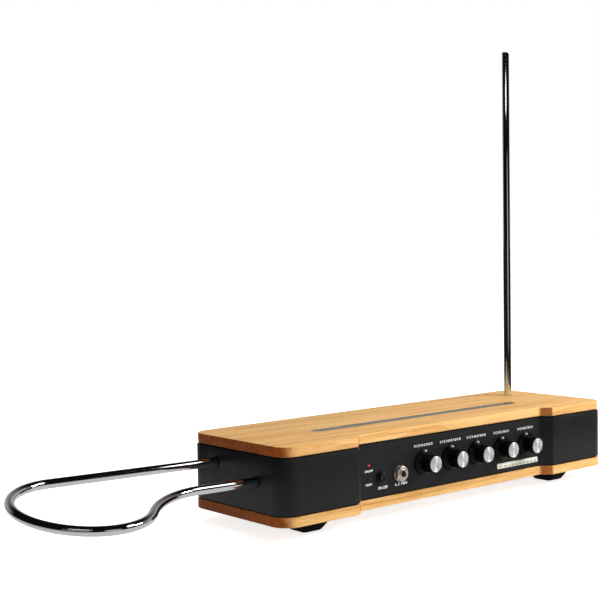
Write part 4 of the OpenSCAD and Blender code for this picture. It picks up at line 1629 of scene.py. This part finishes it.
@dataclass
class Sockets:
    """An audio socket with its washer, nut and threaded neck."""

    bench: Bench
    at: Matrix
    side: str
    wall: float
    nodes: Sequence[str] = ()
    bore: float = 3.25
    neck: float = 4.75
    root: float = 4.45
    out: float = 6.0
    body: float = 26.5
    body_size: Point = (20.0, 16.0)
    thread_depth: float = 0.28
    thread_pitch: float = 0.4
    washer_width: float = 3.2
    flat: float = 14.3
    nut_chamfer_at: float = 3.6
    nut_chamfer: float = 1.1
    nut_sharp: float = 22.0

    @classmethod
    def front(cls, bench: Bench, form: CabinetForm, x: float, z: float) -> None:
        """The phones socket and the hardware of both sockets' frame nodes."""
        cls(bench, form.on_front(x, z), "phones", 2.0, ("phones_jack", "jack_nuts", "jack_washers")).build()

    @classmethod
    def back(cls, bench: Bench, form: CabinetForm, x: float, z: float) -> None:
        """The audio socket on the back."""
        cls(bench, form.on_back(x, z), "audio", form.sheet, ("audio_jack",)).build()

    def build(self) -> None:
        """Makes the socket's pieces."""
        self.barrel()
        self.hardware()

    def barrel(self) -> None:
        """Body and neck, with the bore and thread."""
        thread = []
        z = -self.wall + 0.2
        while z < self.out - 0.6:
            thread += [(self.neck, z), (self.neck - self.thread_depth, z + self.thread_pitch / 2)]
            z += self.thread_pitch
        start = -self.wall - self.body + 1
        neck = [
            (self.bore, start),
            (self.bore, self.out - 0.5),
            (self.bore + 0.5, self.out),
            (self.neck - 0.5, self.out),
            (self.neck - 0.2, self.out - 0.4),
        ]
        neck += thread[::-1] + [(self.root, -self.wall)]
        solid = Solid().lathe(neck + [(self.root, start)], loop=True)
        box = Solid()
        heights = (-self.wall - self.body, -self.wall)
        outer = [box.ring([(x, y, z) for x, y in rounded_box(*self.body_size, 1.0)]) for z in heights]
        box.bridge(*outer)
        box.cap(outer[0])
        hole = box.ring(circle(0, 0, self.root, -self.wall, 64))
        box.cap(outer[1], hole)
        well = box.ring(circle(0, 0, self.root, start, 64))
        box.bridge(hole, well)
        box.cap(well)
        solid.add(box)
        self.bench.place(self.side + "_socket", solid, Finish.NICKEL, instead_of=self.nodes, matrix=self.at)

    def hardware(self) -> None:
        """Washer and hexagon nut."""
        edge = self.neck + self.washer_width
        hole = self.neck + 0.1
        profile = [(hole, 0), (edge - 0.15, 0), (edge, 0.15), (edge, 0.8), (edge - 0.25, 1.0), (hole, 1.0)]
        washer = Solid().lathe(profile, 72, loop=True)
        self.bench.place(self.side + "_washer", washer, Finish.NICKEL, matrix=self.at)
        half, wide = self.flat / 2, hex_corner(self.flat) + 0.01
        profile = [
            (hole, 1.02), (half - 0.3, 1.02), (wide, 1.25), (wide, self.nut_chamfer_at), (wide, 4.2),
            (wide, 4.55), (half - 0.35, 4.8), (hole + 0.35, 4.8), (hole, 4.5),
        ]
        rule = hex_shape(self.flat, self.nut_chamfer_at, self.nut_chamfer)
        nut = Solid().lathe(profile, 96, rule, loop=True)
        self.bench.place(self.side + "_nut", nut, Finish.NICKEL, matrix=self.at, sharp=self.nut_sharp)


@dataclass
class BackParts:
    """Audio socket, power inlet and power switch on the back wall."""

    bench: Bench
    form: CabinetForm
    tilt: float = 10.0
    mark_y: float = 4.6
    mark_z: float = 3.36
    mark_lean: float = 9.0
    mark_height: float = 2.0

    def build(self) -> None:
        """Makes the back's parts."""
        Sockets.back(self.bench, self.form, self.form.audio_x, self.form.middle)
        self.inlet()
        self.switch()
        self.rocker()

    def inlet(self) -> None:
        """The round power inlet and its pin."""
        at = self.form.on_back(self.form.inlet_x, self.form.middle)
        shell = [
            (0, -13), (4.8, -13), (4.8, 0), (6.1, 0), (6.1, 1.15), (5.95, 1.4), (5.7, 1.5), (3.1, 1.5),
            (2.8, 1.2), (2.8, -11), (0, -11),
        ]
        solid = Solid().lathe(shell)
        self.bench.place("power_inlet", solid, Finish.BLACK, instead_of=("dc_inlet",), matrix=at)
        pin = [(0, -11.01), (1.0, -11.01), (1.0, -1.5), (0.85, -1.15), (0.5, -1.0), (0, -1.0)]
        self.bench.place("inlet_pin", Solid().lathe(pin, 32), Finish.NICKEL, matrix=at)

    def switch(self) -> None:
        """The power switch's frame, open for the rocker."""
        at = self.form.on_back(self.form.switch_x, self.form.middle)
        cavity = rounded_box(9.6, 16.2, 0.3, 2)
        body = rounded_box(12.8, 19.4, 0.4, 2)
        rim = rounded_box(15.0, 21.6, 0.8, 2)
        solid = Solid()
        levels = [
            (body, -13.0), (body, 0.0), (rim, 0.0), (rim, 1.3), (shrink(rim, 0.3), 1.6),
            (shrink(cavity, -0.35), 1.6), (cavity, 1.3), (cavity, -4.6),
        ]
        solid.loft([[(x, y, z) for x, y in points] for points, z in levels])
        self.bench.place("switch_frame", solid, Finish.BLACK, instead_of=("power_switch",), matrix=at)

    def rocker(self) -> None:
        """The rocker with its two dished faces and its marks."""
        outline = [(-3.0, -2.0), (3.0, -2.0), (6.9, 1.0), (7.2, 1.35), (7.2, 3.55), (6.95, 3.8)]
        for t in (0.2, 0.4, 0.6, 0.8, 1.0):
            outline.append((6.95 - 6.95 * t, 3.8 - 1.2 * math.sin(t * math.pi / 2) ** 1.2))
        outline += [(-x, y) for x, y in reversed(outline[2:-1])]
        solid = Solid().prism(outline, -4.5, 4.5, 0.0)
        turn = Matrix.Rotation(math.radians(90), 4, "Z") @ Matrix.Rotation(math.radians(90), 4, "X")
        bar = Solid().lathe([(0, -6.0), (1.0, -6.0), (1.0, 6.0), (0, 6.0)], 24)
        solid.moved(turn).add(bar.moved(Matrix.Rotation(math.radians(90), 4, "Y")))
        lean = Matrix.Rotation(math.radians(self.tilt), 4, "X")
        at = self.form.on_back(self.form.switch_x, self.form.middle) @ lean
        body = "power_rocker"
        self.bench.place("rocker_key", solid, Finish.BLACK, body, ("power_rocker",), at)
        for name, text, side in (("rocker_on", "I", -1), ("rocker_off", "O", 1)):
            lean = Matrix.Rotation(math.radians(side * self.mark_lean), 4, "X")
            spot = at @ Matrix.Translation((0, side * self.mark_y, self.mark_z)) @ lean
            self.bench.words(name, text, self.mark_height, 0, spot, Finish.PRINT, body)


@dataclass
class Antennas:
    """Upright pitch rod, volume loop, and what holds them."""

    bench: Bench
    form: CabinetForm
    loop: LoopPlane
    radius: float = 4.2
    pitch_foot: float = 20.7
    pitch_tip: float = 479.0
    bore: float = 4.29
    collar: float = 5.6
    collar_out: float = 1.5
    neck: float = 6.45
    rim: float = 9.45
    neck_from: float = 0.2
    rim_from: float = 1.8
    rim_thick: float = 2.0

    def build(self) -> None:
        """Makes both antennas and the loop's bushes."""
        self.pitch()
        self.volume()
        self.bushes()
        self.bench.dress(Finish.BRASS, "pitch_socket", "volume_socket")
        self.bench.dress(Finish.WHITE, "pitch_bush")
        self.bench.dress(Finish.RED_WIRE, "antenna_leads")
        self.bench.dress(Finish.COPPER, "pitch_coil", "volume_coil")

    def pitch(self) -> None:
        """The upright rod."""
        foot, tip = self.pitch_foot, self.pitch_tip
        path = [Vector((*self.form.rod_at, z)) for z in (foot, foot + 1.0, 160.0, 320.0, tip - 1.0, tip)]
        solid = Solid().tube(path, self.radius, Vector((0, 1, 0)))
        self.bench.place("pitch_rod", solid, Finish.CHROME, "pitch_antenna", ("pitch_antenna",))

    def volume(self) -> None:
        """The loop on its two legs."""
        solid = Solid().tube(self.loop.path(), self.radius, Vector((0, 0, 1)))
        body = "volume_antenna"
        self.bench.place("volume_loop", solid, Finish.CHROME, body, ("volume_antenna",), self.loop.matrix)

    def bushes(self) -> None:
        """The two black bushes round the loop's legs, each with a small collar outside the wall."""
        end = self.rim_from + self.rim_thick
        out = -self.collar_out
        bore, collar = self.bore, self.collar
        profile = [
            (bore, end), (bore, out + 0.3), (bore + 0.25, out), (collar - 0.35, out), (collar, out + 0.35),
            (collar, self.neck_from), (self.neck, self.neck_from), (self.neck, self.rim_from),
            (self.rim, self.rim_from), (self.rim, end),
        ]
        solid = Solid()
        for y in self.loop.legs:
            solid.add(Solid().lathe(profile, loop=True).moved(self.loop.across(y)))
        self.bench.place("loop_bushes", solid, Finish.BLACK, instead_of=("volume_bushes",))


@dataclass
class Underside:
    """Feet, screws and the stand socket."""

    bench: Bench
    form: CabinetForm
    foot_top: float = 39.5
    foot_bottom: float = 22.0
    foot_height: float = 14.4
    foot_x: float = 182.0
    foot_y: float = 35.5
    foot_well: float = 4.0
    foot_screw: Point = (-6.0, 6.0)
    case_screw: Point = (4.0, 12.5)
    shank_hole: float = 1.65
    head: float = 2.8
    head_height: float = 2.2
    recess: float = 1.25
    recess_depth: float = 1.3
    shank: float = 1.5
    thread_root: float = 7.43
    thread_crest: float = 7.85
    thread_pitch: float = 0.94
    thread_range: Point = (1.2, 13.5)

    def build(self) -> None:
        """Makes the underside's parts."""
        self.feet()
        self.screws()
        self.stand()
        self.bench.dress(Finish.STEEL, "top_screws", "board_screws")
        self.bench.dress(Finish.BRASS, "board_pillars")
        self.bench.dress(Finish.BOARD, "main_board", "panel_board")

    def spots(self) -> list[Point]:
        """Middles of the four feet."""
        return [(sx * self.foot_x, sy * self.foot_y) for sx in (-1, 1) for sy in (-1, 1)]

    def feet(self) -> None:
        """Four tapered rubber feet with rounded edges."""
        solid = Solid()
        h, r = self.foot_height, self.foot_well
        seat, shank = self.foot_screw[0], self.shank_hole
        steps = [(r + 0.3, -h), (r, -h + 0.3), (r, seat), (shank, seat), (shank, 0.0)]
        for x, y in self.spots():
            foot = Solid()
            rings = []
            for share, pull in ((0.0, 0.0), (0.03, 0.0), (0.5, 0.0), (0.93, 0.0), (0.98, 0.35), (1.0, 1.0)):
                w = self.foot_top + (self.foot_bottom - self.foot_top) * share - 2 * pull
                rings.append([(px, py, -h * share) for px, py in rounded_box(w, w, 1.6 + share, 5)])
            sides = foot.loft(rings, ends=False)
            well = foot.well(0, 0, steps, len(rings[0]))
            foot.cap(sides[-1], well[0])
            foot.cap(sides[0], well[-1])
            solid.add(foot.moved(Matrix.Translation((x, y, 0))))
        self.bench.place("rubber_feet", solid, Finish.RUBBER, instead_of=("feet",))

    def socketed(self, r: float, _height: float, a: float) -> float:
        """Radius of a screw, with its recess drawn as a hexagon at every height."""
        return r / math.cos(from_side(a)) if abs(r - self.recess) < 0.001 else r

    def screw(self, seat: float, tip: float) -> Solid:
        """A pan-head screw with a hexagon recess.

        Args:
            seat: Height of the face under the head.
            tip: Height of the tip.

        Returns:
            The screw, about the Z axis.
        """
        low = seat - self.head_height
        deep, recess, head, shank = low + self.recess_depth, self.recess, self.head, self.shank
        profile = [
            (0, deep), (recess, deep), (recess, low), (1.9, low), (head - 0.3, low + 0.25),
            (head, low + 0.8), (head, seat), (shank, seat), (shank, tip - 0.8), (0.9, tip), (0, tip),
        ]
        return Solid().lathe(profile, 36, self.socketed)

    def screws(self) -> None:
        """The feet's screws and the case's screws."""
        for node, spots, ends in (
            ("foot_screws", self.spots(), self.foot_screw),
            ("case_screws", self.form.screw_spots(), self.case_screw),
        ):
            solid = Solid()
            for x, y in spots:
                solid.add(self.screw(*ends).moved(Matrix.Translation((x, y, 0))))
            self.bench.place(node + "_set", solid, Finish.STEEL, instead_of=(node,))

    def stand(self) -> None:
        """The stand socket with its thread."""
        root = self.thread_root
        profile: list[Point] = [(0, 14.2), (root, 14.2)]
        low, z = self.thread_range
        while z > low:
            profile += [(root, z), (self.thread_crest, z - self.thread_pitch / 2)]
            z -= self.thread_pitch
        profile += [
            (root, 0.9), (8.1, 0.0), (21.6, 0.0), (22.0, 0.4), (22.0, 2.5), (10.5, 2.5), (10.5, 15.1),
            (10.2, 15.4), (0, 15.4),
        ]
        solid = Solid().lathe(profile, 72)
        self.bench.place("stand_thread", solid, Finish.STEEL, instead_of=("stand_socket",))


# Light, floor and camera


@dataclass(frozen=True)
class Lamp:
    """A soft lamp that points at the cabinet: an ellipse if it shows in metal, else a rectangle.

    The azimuth runs from X towards Y and the height is above the horizon, both in degrees, and so is
    the turn about the lamp's own line of sight. The distance and the size are in metres.
    """

    name: str
    azimuth: float
    height: float
    away: float
    size: Point
    watts: float
    shown: bool = True
    turn: float = 0.0
    aim: Triple = (0.0, 0.0, 0.04)

    def heading(self) -> Vector:
        """Direction of the lamp from the cabinet."""
        a, h = math.radians(self.azimuth), math.radians(self.height)
        return Vector((math.cos(a) * math.cos(h), math.sin(a) * math.cos(h), math.sin(h)))

    def light(self) -> None:
        """Adds the lamp to the scene."""
        data = bpy.data.lights.new(self.name, "AREA")
        data.shape = "ELLIPSE" if self.shown else "RECTANGLE"
        data.size, data.size_y = self.size
        data.energy = self.watts
        aim = Vector(self.aim)
        spot = aim + self.heading() * self.away
        obj = bpy.data.objects.new(self.name, data)
        obj.location = spot
        turn = Quaternion((0.0, 0.0, 1.0), math.radians(self.turn))
        obj.rotation_euler = ((aim - spot).to_track_quat("-Z", "Y") @ turn).to_euler()
        obj.visible_glossy = self.shown
        bpy.context.scene.collection.objects.link(obj)


@dataclass
class Studio:
    """White floor and surroundings, soft lamps, and the camera at the photograph's angle."""

    floor_z: float = -14.4
    near_lift: float = 0.80
    shadow_reach: Point = (0.35, 1.1)
    floor_in_metal: Point = (0.62, 0.012)
    table_edge: Point = (0.5, 1.0)
    backdrop: float = 0.42
    room: float = 0.004
    ambient: float = 0.22
    floor_half: float = 60.0
    eye: Triple = (-938.8, -926.4, 258.2)
    yaw: float = 49.76
    pitch: float = 2.62
    roll: float = -0.83
    lens: float = 74.27
    sensor: float = 36.0
    sight: Point = (0.05, 200.0)
    lamps: Sequence[Lamp] = (
        Lamp("key", -53.0, 42.0, 2.1, (1.6, 1.0), watts=50.0, shown=False),
        Lamp("overhead", 90.0, 84.0, 1.7, (1.8, 1.2), watts=9.0, shown=False),
        Lamp("high_box", -43.9, 40.1, 1.92, (0.44, 1.1), watts=3.4, turn=-33.8),
        Lamp("low_box", -32.0, 28.5, 1.92, (0.5, 0.28), watts=15.0),
        Lamp("side_card", -97.0, 11.0, 1.0, (0.50, 0.42), watts=0.24),
        Lamp("long_box", -127.5, 38.0, 2.2, (1.1, 0.24), watts=1.2),
        Lamp("small_card", -133.0, 15.6, 2.6, (1.7, 0.14), watts=1.0),
    )

    def build(self) -> None:
        """Makes the whole set."""
        bpy.context.scene.view_settings.view_transform = "Standard"
        self.floor()
        self.world()
        for lamp in self.lamps:
            lamp.light()
        self.camera()

    def floor(self) -> None:
        """The floor: white to the camera but for the shadow; in metal, pale near and dark far off."""
        half = self.floor_half
        mesh = bpy.data.meshes.new("floor")
        corners = [(-half, -half), (half, -half), (half, half), (-half, half)]
        mesh.from_pydata([(x, y, self.floor_z * MM) for x, y in corners], [], [(0, 1, 2, 3)])
        obj = bpy.data.objects.new("floor", mesh)
        bpy.context.scene.collection.objects.link(obj)
        g = Graph("floor_white", Roughness=0.9, Specular_IOR_Level=0.0, Base_Color=(0.80, 0.80, 0.80, 1.0))
        path = g.node("LightPath").outputs
        away = g.vector("LENGTH", g.place, output="Value")
        lift = g.spread(away, *self.shadow_reach, self.near_lift, 1.0)
        g.shader.inputs["Emission Color"].default_value = (1.0, 1.0, 1.0, 1.0)
        g.feed("Emission Strength", g.maths("MULTIPLY", path["Is Camera Ray"], lift))
        shown = g.node("Emission", {"Strength": g.spread(away, *self.table_edge, *self.floor_in_metal)})
        mix = g.node("MixShader", {0: path["Is Glossy Ray"]})
        g.tree.links.new(g.shader.outputs[0], mix.inputs[1])
        g.tree.links.new(shown.outputs[0], mix.inputs[2])
        g.tree.links.new(mix.outputs[0], g.tree.nodes["Material Output"].inputs["Surface"])
        mesh.materials.append(g.material)

    def world(self) -> None:
        """White to the camera; in metal a dark room with a pale backdrop; else a soft grey light."""
        world = bpy.data.worlds.new("studio")
        bpy.context.scene.world = world
        world.use_nodes = True
        g = Graph("spare")
        spare = g.material
        g.tree = world.node_tree
        g.tree.nodes.clear()
        way = g.node("TexCoord").outputs["Generated"]
        ahead = (math.cos(math.radians(self.yaw)), math.sin(math.radians(self.yaw)), 0.0)
        facing = g.vector("DOT_PRODUCT", way, ahead, output="Value")
        height = g.node("SeparateXYZ", {0: way}).outputs["Z"]
        backdrop = g.maths("MULTIPLY", g.spread(facing, 0.25, 0.65), g.spread(height, 0.62, 0.25))
        tone = g.maths("ADD", g.maths("MULTIPLY", backdrop, self.backdrop), self.room)
        grey = g.node("CombineColor", {0: tone, 1: tone, 2: tone}).outputs[0]
        metal = g.node("Background", {"Color": grey, "Strength": 1.0})
        soft = g.node("Background", {"Color": (1.0, 1.0, 1.0, 1.0), "Strength": self.ambient})
        white = g.node("Background", {"Color": (1.0, 1.0, 1.0, 1.0), "Strength": 1.0})
        path = g.node("LightPath").outputs
        through = g.maths("MAXIMUM", path["Is Camera Ray"], path["Is Transmission Ray"])
        inner = g.node("MixShader", {0: path["Is Glossy Ray"]})
        g.tree.links.new(soft.outputs[0], inner.inputs[1])
        g.tree.links.new(metal.outputs[0], inner.inputs[2])
        outer = g.node("MixShader", {0: through})
        g.tree.links.new(inner.outputs[0], outer.inputs[1])
        g.tree.links.new(white.outputs[0], outer.inputs[2])
        g.tree.links.new(outer.outputs[0], g.node("OutputWorld").inputs["Surface"])
        bpy.data.materials.remove(spare)

    def camera(self) -> None:
        """The camera, from its fitted place and angles."""
        yaw, pitch, roll = (math.radians(v) for v in (self.yaw, self.pitch, self.roll))
        ahead = Vector((math.cos(yaw) * math.cos(pitch), math.sin(yaw) * math.cos(pitch), -math.sin(pitch)))
        level = Vector((math.sin(yaw), -math.cos(yaw), 0.0))
        above = level.cross(ahead)
        right = level * math.cos(roll) + above * math.sin(roll)
        up = above * math.cos(roll) - level * math.sin(roll)
        matrix = Matrix.Identity(4)
        for row in range(3):
            matrix[row][0], matrix[row][1], matrix[row][2] = right[row], up[row], -ahead[row]
            matrix[row][3] = self.eye[row] * MM
        data = bpy.data.cameras.new("camera")
        data.sensor_width = self.sensor
        data.sensor_fit = "HORIZONTAL"
        data.lens = self.lens
        data.clip_start, data.clip_end = self.sight
        obj = bpy.data.objects.new("camera", data)
        obj.matrix_world = matrix
        bpy.context.scene.collection.objects.link(obj)
        bpy.context.scene.camera = obj


def main() -> None:
    """Builds every sub-assembly on the frame."""
    logging.basicConfig(level=logging.INFO, format="%(name)s: %(message)s")
    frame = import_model()
    form = CabinetForm()
    loop = LoopPlane(form)
    bench = Bench(frame)
    Studio().build()
    for part in (
        WoodBoards(bench, form),
        SteelCase(bench, form, loop),
        Knobs(bench, form),
        PanelParts(bench, form),
        BackParts(bench, form),
        Antennas(bench, form, loop),
        Underside(bench, form),
    ):
        LOG.info("building %s", type(part).__name__)
        part.build()


if __name__ == "__main__":
    main()
